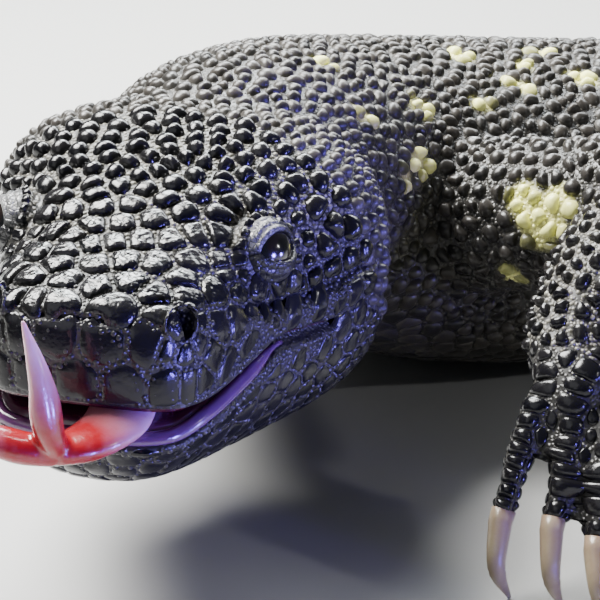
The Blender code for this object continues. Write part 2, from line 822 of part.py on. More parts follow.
def toe_paths(foot):
    """For each toe: (centre line, claw line), in millimetres."""
    palm = np.array(LIMBS[foot["limb"]]["joints"][3], float)
    aim = math.radians(foot["aim"])
    ahead = np.array([math.cos(aim), math.sin(aim), 0.0])
    across = np.array([-math.sin(aim), math.cos(aim), 0.0])
    up = np.array([0.0, 0.0, 1.0])
    paths = []
    for turn, length in foot["toes"]:
        angle = math.radians(foot["aim"] + turn)
        way = np.array([math.cos(angle), math.sin(angle), 0.0])
        side = across * turn * foot["spread"]
        start = palm - ahead * TOE_ROOT + side * 0.6
        knuckle = palm + side + way * 3.5
        if foot["raised"]:
            tip = knuckle + way * length * (1 - TOE_DROP * 0.45) - up * length * TOE_DROP
            claw_tip = tip + (way * 0.15 + across * 0.18) * foot["claw"]
            bow = way * foot["claw"] * 0.2
        else:
            knuckle[2] = TOE_RADIUS + 1.6
            tip = knuckle + way * length * 0.92
            tip[2] = TOE_TIP * 0.82
            claw_tip = tip + way * foot["claw"] * 0.92
            bow = up * 2.2
        claw_tip[2] = TIP_RADIUS * 0.6
        middle = (knuckle + tip) / 2 + up * 0.9
        toe = along((start, knuckle, middle, tip), 2 * SCUTES_PER_TOE + 1)
        out = (toe[-1] - toe[-2]) / np.linalg.norm(toe[-1] - toe[-2])
        root = tip + out * GAP
        base = root + out * CLAW_BASE
        claw = along((base, (base + claw_tip) / 2 + bow, claw_tip), CLAW_STEPS - 1)
        paths.append((toe, np.vstack([root, claw])))
    return paths


def finish_foot(name, palm, lizard, cutters):
    """Joins the toes to a palm, and makes the claws: {node name: object}."""
    made = {}
    radii = scute_radii(TOE_RADIUS, TOE_TIP, SCUTES_PER_TOE)
    claw_radii = eased(((0, CLAW_ROOT), (0.4, CLAW_ROOT * 0.8), (1, TIP_RADIUS)), np.linspace(0, 1, CLAW_STEPS))
    for number, (toe, claw) in enumerate(toe_paths(FEET[name]), 1):
        loft("toe", tube_rings(toe, radii, TOE_SIDES, 0.9), cutters)
        label = f"{name}_claw_{number}"
        made[label] = loft(label, tube_rings(claw, claw_radii[:, 0], CLAW_SIDES, 1.1), lizard)
        level_floor(made[label])
    boolean(palm, cutters, "UNION")
    level_floor(palm)
    made[name] = keep_largest(palm, lizard)
    return made


def level_floor(thing):
    """Sets every point that would lie on or under the floor onto it."""
    for v in thing.data.vertices:
        if v.co.z < 0.35 * MM:
            v.co.z = 0.0


def material(name):
    colour, roughness = COLOURS[name]
    made = bpy.data.materials.new(name)
    made.use_nodes = True
    shader = made.node_tree.nodes["Principled BSDF"]
    shader.inputs["Base Color"].default_value = colour
    shader.inputs["Roughness"].default_value = roughness
    shader.inputs["Metallic"].default_value = 0.0
    return made


def new_collection(name, hidden=False):
    made = bpy.data.collections.new(name)
    bpy.context.scene.collection.children.link(made)
    made.hide_render = hidden
    return made


def main():
    clear_scene()
    lizard = new_collection("beaded_lizard")
    scratch = new_collection("scratch", hidden=True)
    cutters = new_collection("cutters", hidden=True)
    points, faces, normals = smooth_hide(scratch)
    hide = beaded_hide(points, faces, normals, lizard)
    named = part_limbs(hide, lizard, cutters)
    hide = keep_largest(hide, lizard)
    named.update(part_trunk(hide, cutters))
    for name, thing in named.items():
        named[name] = keep_largest(thing, lizard)

    head = named["head"]
    for side in (1, -1):
        lid_ring(side, cutters)
    boolean(head, cutters, "UNION")
    head_cutters(cutters)
    boolean(head, cutters, "DIFFERENCE")
    jaw = bpy.data.objects.new("lower_jaw", head.data.copy())
    lizard.objects.link(jaw)
    profile_prism("jaw_room", jaw_outline(False), 45, cutters)
    boolean(jaw, cutters, "INTERSECT")
    profile_prism("mouth_room", jaw_outline(True), 45, cutters)
    boolean(head, cutters, "DIFFERENCE")
    for thing in (head, jaw):
        tongue_loft("tongue_room", GAP, cutters)
        boolean(thing, cutters, "DIFFERENCE")
    tongue_loft("tongue_piece", 0.0, cutters)
    tongue = cutters.objects[0]
    cutters.objects.unlink(tongue)
    lizard.objects.link(tongue)
    boolean(tongue, cutters, "UNION")
    tongue.name = "tongue"
    solids = [keep_largest(thing, lizard) for thing in (head, jaw, tongue)]
    named["head"], named["lower_jaw"], named["tongue"] = solids
    named["left_eye"] = eye(1, "left_eye", lizard)
    named["right_eye"] = eye(-1, "right_eye", lizard)

    for name in FEET:
        named.update(finish_foot(name, named[name], lizard, cutters))

    finish = {"left_eye": "eye", "right_eye": "eye", "tongue": "tongue", "lower_jaw": "face", "head": "face"}
    made = {name: material(name) for name in COLOURS}
    for name, thing in named.items():
        own = "claw" if "claw" in name else finish.get(name, "skin")
        thing.name = name
        thing.data.materials.clear()
        thing.data.materials.append(made[own])
        if own in ("eye", "claw", "tongue"):
            thing.data.shade_smooth()
            thing.data.set_sharp_from_angle(angle=SHARP_ANGLE)


main()
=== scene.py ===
"""The beaded lizard's looks: one skin with solid beads over it, eyes, mouth, tongue and claws.

Sizes and places are in millimetres until a mesh is made. The animal's shape is worked out from the
same named sections as its solids. The head's axes are left, back and up from the front of the upper
lip, and where they stand is read from the frame's two eyes.
"""

import math
from types import SimpleNamespace

import bmesh
import bpy
import numpy as np
from mathutils import Matrix, Vector
from mathutils.bvhtree import BVHTree
from mathutils.kdtree import KDTree


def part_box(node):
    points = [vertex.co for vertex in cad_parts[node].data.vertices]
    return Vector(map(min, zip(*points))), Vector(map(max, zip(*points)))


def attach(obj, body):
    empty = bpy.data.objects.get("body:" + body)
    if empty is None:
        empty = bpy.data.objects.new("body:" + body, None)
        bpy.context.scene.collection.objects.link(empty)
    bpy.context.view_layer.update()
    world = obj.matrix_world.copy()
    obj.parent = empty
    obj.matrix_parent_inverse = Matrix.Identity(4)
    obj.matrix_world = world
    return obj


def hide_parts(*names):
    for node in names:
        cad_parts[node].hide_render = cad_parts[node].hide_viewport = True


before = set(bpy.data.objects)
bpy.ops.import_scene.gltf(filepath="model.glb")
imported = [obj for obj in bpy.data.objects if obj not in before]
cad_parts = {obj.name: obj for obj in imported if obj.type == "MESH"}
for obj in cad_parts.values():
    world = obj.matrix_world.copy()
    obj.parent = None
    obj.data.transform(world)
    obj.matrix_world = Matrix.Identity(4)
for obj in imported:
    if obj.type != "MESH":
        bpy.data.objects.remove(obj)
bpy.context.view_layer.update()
MM = 0.001
RANDOM = np.random.default_rng(11)
# The head's left and its mirror image
BOTH_SIDES = (1, -1)

# The body's driving sizes, the same as the solids': places are distances from the snout along the spine
SNOUT_TO_VENT = 400.0
TAIL_LENGTH = 272.0
BODY_MIDDLE = 250.0
HEAD_PITCH = math.radians(-7.0)
SPINE_HEADINGS = (
    (0, 45), (66, 45), (92, 34), (124, 12), (160, -6), (250, -4),
    (330, 8), (400, 6), (470, -18), (560, -52), (672, -84),
)

# Trunk and tail: place, half width, top and bottom
TRUNK_SECTIONS = (
    (52, 19.0, 63.0, 36.0),
    (70, 24.0, 67.0, 32.0),
    (84, 26.5, 68.0, 25.0),
    (102, 29.5, 66.0, 14.0),
    (124, 34.0, 61.5, 4.0),
    (150, 38.0, 56.5, 0.0),
    (200, 42.5, 50.5, -0.6),
    (260, 44.0, 48.0, -0.8),
    (320, 41.5, 47.5, -0.6),
    (362, 34.0, 46.5, 0.0),
    (395, 27.5, 44.0, 0.0),
    (430, 22.5, 41.0, -0.3),
    (490, 19.0, 35.5, -0.4),
    (560, 15.5, 29.0, -0.4),
    (620, 11.0, 21.0, -0.3),
    (655, 6.5, 12.5, 0.0),
    (672, 1.2, 4.6, 2.2),
)
# Where between bottom and top the trunk is widest, and its squareness over and under that
TRUNK_WIDEST = 0.42
TRUNK_SQUARES = (2.1, 2.5)

# Head: place, half width, top, bottom, height of the widest line and squareness over it
HEAD_SECTIONS = (
    (0.0, 2.0, 6.6, 2.0, 4.6, 2.0),
    (0.7, 8.2, 10.6, -2.0, 4.0, 2.5),
    (2.2, 12.2, 12.0, -8.0, 3.0, 2.8),
    (5.0, 15.0, 13.2, -12.5, 2.4, 2.9),
    (11.0, 17.2, 15.2, -16.0, 1.8, 3.0),
    (20.0, 19.4, 18.2, -18.0, 1.6, 2.9),
    (28.0, 21.6, 21.8, -19.0, 2.0, 2.9),
    (38.0, 25.4, 24.8, -19.6, 2.4, 3.0),
    (48.0, 29.6, 27.2, -19.6, 2.6, 3.1),
    (56.0, 31.0, 28.2, -19.2, 2.6, 3.2),
    (63.0, 29.2, 28.2, -18.0, 3.0, 3.1),
    (70.0, 24.6, 26.4, -15.0, 4.0, 2.8),
    (76.0, 18.0, 21.6, -9.0, 5.0, 2.5),
)
JAW_SQUARE = 2.3
HEAD_LENGTH = 76
LIP_LINE = ((-6, -1.2), (0, -1.6), (4, -1.9), (10, -1.4), (19, 0.3), (29, 2.2), (37, 1.9), (42, 1.7))
MOUTH_GAPE = ((-6, 5.2), (0, 5.0), (4, 4.3), (10, 2.7), (19, 2.1), (25, 1.4), (29, 0.8), (42, 0.3))
MOUTH_CORNER = 42.0
MOUTH_CORE = 20.0
SLOT_END = 29.0
SLOT_REACH = 45.0
LIP_ROLL = 1.25
UPPER_ROLL = (0.9, 1.0)
LOWER_ROLL = (0.55, 1.1)
EYE_PLACE = (17.8, 28.3, 14.9)
EYE_LOOK = (0.86, -0.38, 0.34)
EYE_RADIUS = 4.3
# Rims: half width, half height and thickness
EYE_RIM = (4.9, 4.5, 1.35)
NOSTRIL_PLACE = (12.8, 5.0, 10.2)
NOSTRIL_WAY = (0.75, -0.55, 0.15)
NOSTRIL_RIM = (2.7, 2.5, 0.8)
NOSTRIL_PATH = ((1.6, -1.4, 0.4), (0, 0, 0), (-2.2, 1.8, -0.6))
NOSTRIL_RADII = (2.3, 2.25, 2.15, 1.9, 1.6, 1.2, 0.8)
EAR_PLACE = (28.6, 59.5, 7.0)
EAR_SIZE = (2.4, 1.6, 5.5)

# Limbs: root, bend, wrist and palm, then half widths and half heights at six stations
LIMBS = {
    "left_arm": {
        "joints": ((16, -121, 36), (54, -108, 46.5), (63.8, -130.8, 32.5), (73.9, -132.7, 26.5)),
        "radii": (13.5, 12.6, 12.0, 12.0, 9.2, 10.5),
        "heights": (14.0, 12.8, 12.2, 11.6, 7.8, 5.6),
    },
    "right_arm": {
        "joints": ((-26, -119, 29), (-61, -104, 23), (-70, -136, 11), (-73, -151, 5.4)),
        "radii": (13.5, 12.4, 12.0, 11.6, 8.8, 10.5),
        "heights": (14.0, 12.6, 12.2, 11.2, 7.6, 5.6),
    },
    "left_leg": {
        "joints": ((0, 126.5, 23), (62, 100, 22), (70, 136, 11), (84, 131, 5.4)),
        "radii": (14.0, 16.0, 13.6, 12.0, 9.0, 10.5),
        "heights": (12.0, 15.6, 13.4, 11.6, 7.8, 5.6),
    },
    "right_leg": {
        "joints": ((-22, 120, 27), (-60, 144, 22), (-66, 106, 11), (-79, 98, 5.4)),
        "radii": (16.5, 15.0, 13.6, 12.0, 9.0, 10.5),
        "heights": (16.5, 15.0, 13.4, 11.6, 7.8, 5.6),
    },
}
PATH_STEPS = 60
CORE_STEPS = 40
UPPER_STATION = 0.5
LOWER_STATION = 0.55

# Feet: heading in degrees, each toe's turn and length, how far the toes' roots spread, and the claws
FEET = {
    "left_hand": {
        "limb": "left_arm", "aim": -46.0, "spread": 0.72, "claw": 15.0, "raised": True,
        "toes": ((-14, 17.0), (-6, 17.0), (1, 19.0), (8, 18.0), (18, 15.0)),
    },
    "right_hand": {
        "limb": "right_arm", "aim": -100.0, "spread": 0.18, "claw": 10.5, "raised": False,
        "toes": ((-50, 15.0), (-24, 20.0), (0, 22.0), (22, 20.0), (46, 15.0)),
    },
    "left_foot": {
        "limb": "left_leg", "aim": -20.0, "spread": 0.18, "claw": 10.0, "raised": False,
        "toes": ((-46, 14.0), (-22, 20.0), (0, 23.0), (24, 22.0), (54, 16.0)),
    },
    "right_foot": {
        "limb": "right_leg", "aim": -148.0, "spread": 0.18, "claw": 10.0, "raised": False,
        "toes": ((-54, 16.0), (-24, 22.0), (0, 23.0), (23, 20.0), (46, 14.0)),
    },
}
TOE_ROOT = 7.0
TOE_RADIUS = 3.5
TOE_TIP = 2.7
TOE_DROP = 0.8
TOE_SHARE = 0.92
TOE_BOW = 0.9
ROOT_SPREAD = 0.6
KNUCKLE_RISE = 1.6
KNUCKLE_SWELL = 0.07
TIP_SQUASH = 0.82
RAISED_BEND = 0.45
RAISED_CLAW = (0.15, 0.18)
RAISED_BOW = 0.2
CLAW_BOW = 2.2
CLAW_INSET = 0.8
CLAW_SINK = 0.6
CLAW_ROOT = 2.2
CLAW_BASE = 1.3
CLAW_STEPS = 14
TIP_RADIUS = 0.45
CLAW_RADII = ((0, CLAW_ROOT * 0.96), (0.4, CLAW_ROOT * 0.78), (1, TIP_RADIUS * 0.8))

# Skin: fineness of the head, body and tongue, where head and body join, its depth and least height
HEAD_VOXEL = 0.42
BODY_VOXEL = 1.1
TONGUE_VOXEL = 0.28
HEAD_END = 70.0
HEAD_OVERLAP = 0.6
HEAD_ROOM = (38, 40, 60)
SKIN_DEPTH = 0.55
LEAST_HEIGHT = 0.02

# Creases pressed into the head's skin: the fold's line is place and height, and each pair is a start
# and an end
FOLD_LINE = ((14, 9.4), (19, 8.9), (27, 7.6), (34, 7.3), (44, 8.3), (54, 9.6))
FOLD_DEPTH = 1.25
FOLD_WIDTH = 0.7
FOLD_ROLL = 0.7
FOLD_START = (14, 20)
FOLD_END = (48, 56)
CHEEK_START = (8, 11)
CORNER_DEPTH = 1.5
CORNER_WIDTH = 0.55
SNOUT_CREASE_HEIGHT = 10.8
SNOUT_CREASE_DEPTH = 1.0
SNOUT_CREASE_WIDTH = 0.5
SNOUT_CREASE_BEND = 0.006
SNOUT_CREASE_ENDS = ((3.5, 6), (7.5, 9.5))

# Regions of the skin: the limbs have the numbers from LEFT_ARM on, and their toes places from TOES on
HEAD, TRUNK, TAIL, LEFT_ARM = range(4)
TAIL_PLACE = 412
TOES = 80.0

# Edges between kinds of beads: where each starts and how long it is, along the head or from its lips
CROWN_EDGE = (7, 5)
CHIN_EDGE = (9, 4)
THROAT_EDGE = (8, 5)
REAR_EDGE = (20, 14)
SMOOTH_EDGE = (44, 12)
NECK_EDGE = (62, 10)
# The same for the belly, by how far the skin faces down
PITCH_UNDER = (0.35, 0.4)
FORM_UNDER = (0.3, 0.4)

# Distance from bead to bead: first and second value, where it starts to change and over what length
CROWN_PITCH = (6.2, 5.2, 12, 16)
FACE_PITCH = (6.4, 4.9, 26, 16)
JAW_PITCH = 5.2
NECK_PITCH = 3.8
BACK_PITCH = (3.6, 3.9, 100, 60)
BELLY_PITCH = 5.2
TAIL_PITCH = (4.0, 3.2, 520, 120)
LIMB_PITCH = (3.9, 3.3, 56, 24)

# Seeds: their least distance from the fixed ones and from each other as shares of the pitch, how
# far they may overfill the skin, and the rounds of relaxing
FIXED_ROOM = 0.55
SEED_ROOM = 0.5
RELAXING_ROUNDS = 14
FILLING = 0.80

# Scales in rows along the lips and the snout's edge: height by place, pitch, how far round the snout
# the row goes, and the first scale's distance from its middle as a share of the pitch
LIP_ROWS = (
    (lambda back: lip_height(back) + 3.1, 6.4, 200.0, 0.0),
    (lambda back: lower_lip_height(back) - 3.4, 6.2, 200.0, 0.0),
    (lambda back: 7.9, 6.6, 10.5, 0.5),
)
LIP_PITCH = 6.3
# Rows over and under the fold: height from it, pitch, first and last place
FOLD_ROWS = ((2.5, 4.4, 19.0, 52.0), (-2.7, 4.6, 45.0, 54.0))
SNOUT_PLATES = ((3.9, 3.2), (11.0, 4.6))
SNOUT_PLATE_PITCH = 7.2
# Rings round the eye and the nostril: radius and pitch
EYE_RINGS = ((6.9, 2.3), (9.6, 3.4))
NOSTRIL_RING = (4.5, 3.3)
NOSTRIL_LEVEL = (0.55, 0.75, 0)
# Rows down the toes: their distance, the end free of them, each scale's turn and pitch, and its way out
TOE_ROW = 2.15
TOE_FREE = 1.35
TOE_SCALES = ((-102, 3.3), (0, 6.4), (102, 3.3))
TOE_OUT = 3.4
# Scales in rows: how near the skin they start, their room as a share of the pitch, and the pitch's cap
ROW_REACH = 3.5
ROW_ROOM = 0.42
ROW_MOST = 4.5
CURVE_STEPS = 161
FROM_OUTSIDE = 60

# A bead's rings as shares of its radius, with its sides, near the camera and elsewhere
NEAR_RINGS = (1.0, 0.96, 0.86, 0.68, 0.44, 0.2)
FAR_RINGS = (1.0, 0.93, 0.7, 0.38)
NEAR_SIDES = 18
FAR_SIDES = 11
# Heights as shares of the pitch and grooves between beads, each from its first kind of bead to its second
JAW_HEIGHT = (0.036, 0.19)
CROWN_HEIGHT = (0.13, 0.27)
CROWN_RISE = 3
THROAT_HEIGHT = 0.05
BODY_HEIGHT = (0.27, 0.05)
TOE_HEIGHT = 0.11
HEIGHT_CHANCE = (0.86, 1.14)
FLATNESS = (2.0, 5.0)
HEAD_GROOVE = 0.62
PLATE_GROOVE = (0.10, 0.34)
BODY_GROOVE = (0.42, 0.16)
LIMB_GROOVE = (0.6, 0.72, 20, 20)
TOE_GROOVE = 0.16
LEAN = 0.04
ROUND_CORNER = 5.0
SHARP_CORNER = 14.0
MOST_REACH = 0.72
LEAST_RADIUS = 0.25
BEAD_SINK = 0.22
BEAD_TILT = 0.16
NEIGHBOURS = 16
MOST_TRIANGLES = 190000

# Granules between the beads: where they start on the arm, room from the beads, spacing, shape, and
# tries per square millimetre
GRAIN_START = 16
GRAIN_ROOM = (0.22, 3.0)
GRAIN_OVER = 0.10
GRAIN_CHANCE = (0.85, 1.15)
GRAIN_GAP = 0.84
GRAIN_SIDES = 7
GRAIN_RINGS = (1.0, 0.7)
GRAIN_RADII = (0.30, 0.46)
GRAIN_RISE = 0.78
GRAIN_SINK = 0.12
GRAIN_TRIES = 7

# The unwrap's tiles: left, bottom and width of each region, at one scale for all
UNWRAP_SCALE = 1 / 500
UNWRAP_TILES = (
    (0.0, 0.70, 0.38),
    (0.0, 0.0, 0.48),
    (0.49, 0.0, 0.28),
    (0.79, 0.02, 0.17),
    (0.79, 0.26, 0.17),
    (0.79, 0.50, 0.17),
    (0.79, 0.74, 0.17),
)
UNWRAP_STARTS = (0, HEAD_LENGTH, TAIL_PLACE, 0, 0, 0, 0)
PATCH_RADIUS = 0.0015

# How pale the skin between beads is: least and added on the crown, least and most on a limb
CROWN_DUST = (0.03, 0.60)
LIMB_CREAM = (0.15, 0.75)
BODY_GREY = 0.30
TOE_GREY = 0.1

# Pale yellow spots the photograph shows, each with its middle and radius
SPOTS = (
    (-5.4, -107.0, 57.6, 2.6),
    (-0.8, -95.8, 55.2, 2.0),
    (5.9, -101.4, 54.3, 2.3),
    (4.4, -85.9, 53.0, 2.8),
    (-7.9, -86.1, 54.5, 1.9),
    (14.8, -128.6, 56.7, 2.3),
    (11.3, -113.1, 53.9, 1.6),
    (22.5, -145.4, 60.2, 1.7),
    (23.1, -134.1, 50.6, 1.8),
    (27.0, -138.0, 50.0, 2.0),
    (9.1, -144.5, 65.3, 1.6),
    (38.5, -125.0, 47.4, 2.7),
    (44.5, -122.2, 49.1, 2.4),
    (42.8, -124.4, 45.2, 3.9),
    (36.6, -124.6, 32.6, 2.0),
    (43.1, -124.6, 42.5, 2.6),
)
# Spots it doesn't show: how many and between which places, turns from the back's middle, and radii
BACK_SPOTS = 30
BACK_STRETCH = (185, 405)
BACK_TURNS = (-1.3, 1.3)
BACK_RADII = (2.0, 4.2)
BAND_PLACES = range(434, 668, 39)
BAND_TURN = 1.4
BAND_RADII = (2.2, 3.8)
BAND_CHANCE = 0.6
SPOT_RISE = (0.46, 0.54)
LIMB_SPOTS = 4
LIMB_TURNS = (-1.2, 1.2)
LIMB_RADII = (2.0, 3.4)

# Eyes, lids, by whether it is the upper one, and mouth
IRIS_REACH = 0.80
LID_INNER = 4.42
LID_OUTER = 5.05
LID_WIDTH = math.radians(74.0)
LID_TOP = math.radians(88.0)
LID_ROWS = 49
LID_STEPS = 22
FISSURE_WIDTH = math.radians(52.0)
LID_OPENINGS = {True: math.radians(31.0), False: math.radians(25.0)}
LID_FOLD = 0.20
LID_FOLDS = 24

# Mouth: how far the sheets are set back, and the gum's radius and blush
MOUTH_INSET = 1.9
GUM_RADIUS = 1.15
GUM_BLUSH = 0.35
# Sheets of the mouth: lift and swelling as shares of the gape, drop of the edge, thickness and blush
MOUTH_FLOOR = (0.42, 0.5, 0.25, 1.6, 0.75)
MOUTH_ROOF = (-0.12, 0.0, -0.2, -1.6, 1.0)
# Wet flesh: deep colour, pale colour, roughness and share of light let through
MOUTH_FLESH = ((0.05, 0.003, 0.010), (0.10, 0.030, 0.13), 0.22, 0.1)
TONGUE_FLESH = ((0.26, 0.003, 0.007), (0.56, 0.32, 0.39), 0.26, 0.2)

# Tongue: stem and tines in the head's axes, with half widths and radii by share of their length
TONGUE_STEM = ((2.0, 22, 0.2), (4.4, 9, -2.9), (4.8, 1.0, -4.0), (2.8, -4.0, -4.9), (-0.4, -7.8, -5.4))
TONGUE_WIDTHS = ((0, 3.2), (0.4, 4.6), (0.62, 4.7), (0.85, 3.9), (1, 2.6))
TONGUE_FLATNESS = ((0, 0.34), (0.5, 0.34), (1, 0.62))
TONGUE_TINES = (
    ((-0.4, -7.0, -5.4), (-0.4, -9.4, -2.0), (-1.2, -10.4, 4.5), (-4.1, -10.0, 12.8)),
    ((-0.4, -7.2, -5.4), (-4.5, -9.4, -4.6), (-9.5, -10.4, -3.0), (-17.0, -10.6, -0.6)),
)
TINE_RADII = ((0, 2.4), (0.3, 2.6), (0.6, 1.8), (1, 0.35))
TINE_SIDE = (0.3, 0.2, 1)
TONGUE_STEPS = 40

# Camera: where it stands and looks, in the head's axes, and its lens and roll
CAMERA_TURN = 12.0
CAMERA_RISE = 16.0
CAMERA_ROLL = 3.2
CAMERA_PLACE = (90.4, -285.3, 100.4)
CAMERA_LENS = 142.0

# Lamps in the head's axes: place, aim, size in metres, power in watts and colour
LAMPS = {
    "key": ((-230, 110, 400), (0, 40, 10), (0.26, 0.26), 15.0, (1.0, 0.99, 0.96)),
    "fill": ((-260, -420, 330), (0, 60, -20), (0.5, 0.4), 0.7, (0.96, 0.98, 1.0)),
    "rim": ((60, 560, 420), (0, 160, 10), (0.5, 0.25), 6.0, (0.95, 0.98, 1.0)),
    "gloss": ((-110, 380, 390), (0, 15, 12), (0.16, 0.16), 4.0, (0.95, 1.0, 1.0)),
    "sparkle": ((420, 10, 185), (18, 28, 15), (0.02, 0.02), 0.25, (1.0, 1.0, 1.0)),
}
# Narrow violet lamps: place, aim, beam in degrees and power in watts
VIOLET_LAMPS = {
    "violet": ((330, -150, -5), (10, 22, 9), 13.0, 40.0),
    "violet_low": ((340, 50, -18), (24, 30, 0), 9.0, 34.0),
}
VIOLET = (0.20, 0.14, 1.0)
SKY = (0.60, 0.66, 0.70, 1.0)
SKY_STRENGTH = 0.13
FLOOR_SIZE = 4.0


def hermite(place, value, slope, where):
    """Values at `where` on a smooth curve with the given value and slope at each place."""
    index = np.clip(np.searchsorted(place, where, side="right") - 1, 0, len(place) - 2)
    span = np.diff(place)[index][:, None]
    t = (where - place[index])[:, None] / span
    return (
        (2 * t**3 - 3 * t**2 + 1) * value[index]
        + (t**3 - 2 * t**2 + t) * span * slope[index]
        + (3 * t**2 - 2 * t**3) * value[index + 1]
        + (t**3 - t**2) * span * slope[index + 1]
    )


def eased(stations, where):
    """Values at the places `where` on a smooth curve through the stations, without overshoot."""
    table = np.array(stations, float)
    place, value = table[:, 0], table[:, 1:]
    rise = np.diff(value, axis=0) / np.diff(place)[:, None]
    product = rise[1:] * rise[:-1]
    total = np.where(np.abs(rise[1:] + rise[:-1]) < 1e-9, 1.0, rise[1:] + rise[:-1])
    inner = np.where(product > 0, 2 * product / total, 0.0)
    where = np.clip(np.atleast_1d(np.asarray(where, float)), place[0], place[-1])
    return hermite(place, value, np.vstack([rise[:1], inner, rise[-1:]]), where)


def travelled(points):
    """How far along a line of points each one lies."""
    return np.concatenate([[0], np.cumsum(np.linalg.norm(np.diff(points, axis=0), axis=1))])


def along(points, count):
    """Evenly spread points on a smooth curve through a few points."""
    points = np.array(points, float)
    place = travelled(points)
    return hermite(place, points, np.gradient(points, place, axis=0), np.linspace(0, place[-1], count))


def rising(value, low, high):
    """0 below `low`, 1 above `high`, smooth between."""
    t = np.clip((value - low) / (high - low), 0, 1)
    return t * t * (3 - 2 * t)


def blend(a, b, share):
    """From a at share 0 to b at share 1, and no further."""
    return a + (b - a) * np.clip(share, 0, 1)


def changing(value, a, b, start, length):
    """From a to b as a value goes on from `start` by `length`, and no further."""
    return blend(a, b, (value - start) / length)


def unit(vectors):
    """The same ways with a length of 1."""
    vectors = np.asarray(vectors, float)
    return vectors / np.maximum(np.linalg.norm(vectors, axis=-1, keepdims=True), 1e-9)


def turns(count):
    """Angles spread evenly round a full turn."""
    return np.arange(count) * 2 * math.pi / count


def spine_table():
    """Plan position and heading of the spine at each millimetre, with the belly's middle at the origin."""
    places = np.arange(0.0, SNOUT_TO_VENT + TAIL_LENGTH + 1.0)
    heading = np.radians(eased(SPINE_HEADINGS, places)[:, 0])
    steps = np.stack([-np.sin(heading), np.cos(heading)], axis=1)
    plan = np.vstack([[0, 0], np.cumsum((steps[1:] + steps[:-1]) / 2, axis=0)])
    return places, plan - plan[int(BODY_MIDDLE)], heading


SPINE_PLACES, SPINE_PLAN, SPINE_HEADING = spine_table()


def spine_at(place):
    """Plan position and heading of the spine at a place."""
    x = np.interp(place, SPINE_PLACES, SPINE_PLAN[:, 0])
    y = np.interp(place, SPINE_PLACES, SPINE_PLAN[:, 1])
    return x, y, np.interp(place, SPINE_PLACES, SPINE_HEADING)


def beside_spine(place, side):
    """Plan position at a distance to the side of the spine."""
    x, y, heading = spine_at(place)
    return x + side * math.cos(heading), y + side * math.sin(heading)


def head_matrix():
    """From the head's axes to the world, by the two eyes."""
    eyes = [sum(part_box(name), Vector()) / 2 / MM for name in ("left_eye", "right_eye")]
    across = eyes[0] - eyes[1]
    yaw = math.atan2(across.y, across.x)
    turn = Matrix.Rotation(yaw, 4, "Z") @ Matrix.Rotation(HEAD_PITCH, 4, "X")
    middle = (eyes[0] + eyes[1]) / 2
    offset = turn.to_3x3() @ Vector((0, EYE_PLACE[1], EYE_PLACE[2]))
    return Matrix.Translation(middle - offset) @ turn


HEAD_ARRAY = np.array(head_matrix())
HEAD_INVERSE = np.linalg.inv(HEAD_ARRAY)
HEAD_TURN = HEAD_ARRAY[:3, :3]
HEAD_LEFT, HEAD_BACK, HEAD_UP = HEAD_TURN.T


def head_points(local):
    """World places of points given in the head's axes."""
    local = np.atleast_2d(np.asarray(local, float))
    return local @ HEAD_TURN.T + HEAD_ARRAY[:3, 3]


def head_local(points):
    """Places in the head's axes of points in the world."""
    return np.atleast_2d(points) @ HEAD_INVERSE[:3, :3].T + HEAD_INVERSE[:3, 3]


def mirrored(place, side):
    """A place or way on the head's left for side 1, and its mirror image for side -1."""
    return np.array(place) * (side, 1, 1)


def placed_at(place, side):
    """World place of an eye, nostril or ear on one side."""
    return head_points(mirrored(place, side))[0]


def look_axes(side):
    """World axes of one eye: two across the pupil, level first, and the way it looks."""
    out = unit(mirrored(EYE_LOOK, side))
    level = unit(np.cross((0, 0, 1), out))
    return np.stack([level, np.cross(out, level), out]) @ HEAD_TURN.T


def linked(name, data):
    """An object of the scene for a mesh, lamp or camera."""
    made = bpy.data.objects.new(name, data)
    bpy.context.scene.collection.objects.link(made)
    return made


def mesh_from(name, points, groups):
    """A smooth object from points and arrays of faces, each array with one count of corners."""
    mesh = bpy.data.meshes.new(name)
    mesh.vertices.add(len(points))
    mesh.vertices.foreach_set("co", (np.asarray(points, np.float32) * MM).ravel())
    loops = np.concatenate([group.ravel() for group in groups])
    counts = np.concatenate([np.full(len(group), group.shape[1]) for group in groups])
    mesh.loops.add(len(loops))
    mesh.loops.foreach_set("vertex_index", loops.astype(np.int32))
    mesh.polygons.add(len(counts))
    starts = np.concatenate([[0], np.cumsum(counts)[:-1]])
    mesh.polygons.foreach_set("loop_start", starts.astype(np.int32))
    mesh.update(calc_edges=True)
    mesh.polygons.foreach_set("use_smooth", np.full(len(counts), True))
    return linked(name, mesh)


def set_attribute(thing, name, values):
    """Stores a number for each point of the mesh."""
    layer = thing.data.attributes.new(name, "FLOAT", "POINT")
    layer.data.foreach_set("value", np.asarray(values, np.float32))


def mesh_points(thing):
    """Places of an object's points."""
    return np.array([v.co for v in thing.data.vertices]) / MM


def turn_outwards(thing):
    """Turns the faces of a closed mesh outwards."""
    work = bmesh.new()
    work.from_mesh(thing.data)
    bmesh.ops.recalc_face_normals(work, faces=work.faces)
    work.to_mesh(thing.data)
    work.free()


def ring_quads(low, high, sides):
    """Quads between rings of points, from the number of each ring's first point."""
    k = np.arange(sides)
    after = (k + 1) % sides
    return np.stack([low + k, low + after, high + after, high + k], axis=-1).reshape(-1, 4)


def fan(ring, middle, sides):
    """Triangles from a ring of points, given its first point's number, to one point."""
    k = np.arange(sides)
    return np.stack([ring + k, ring + (k + 1) % sides, np.full(sides, middle)], 1)


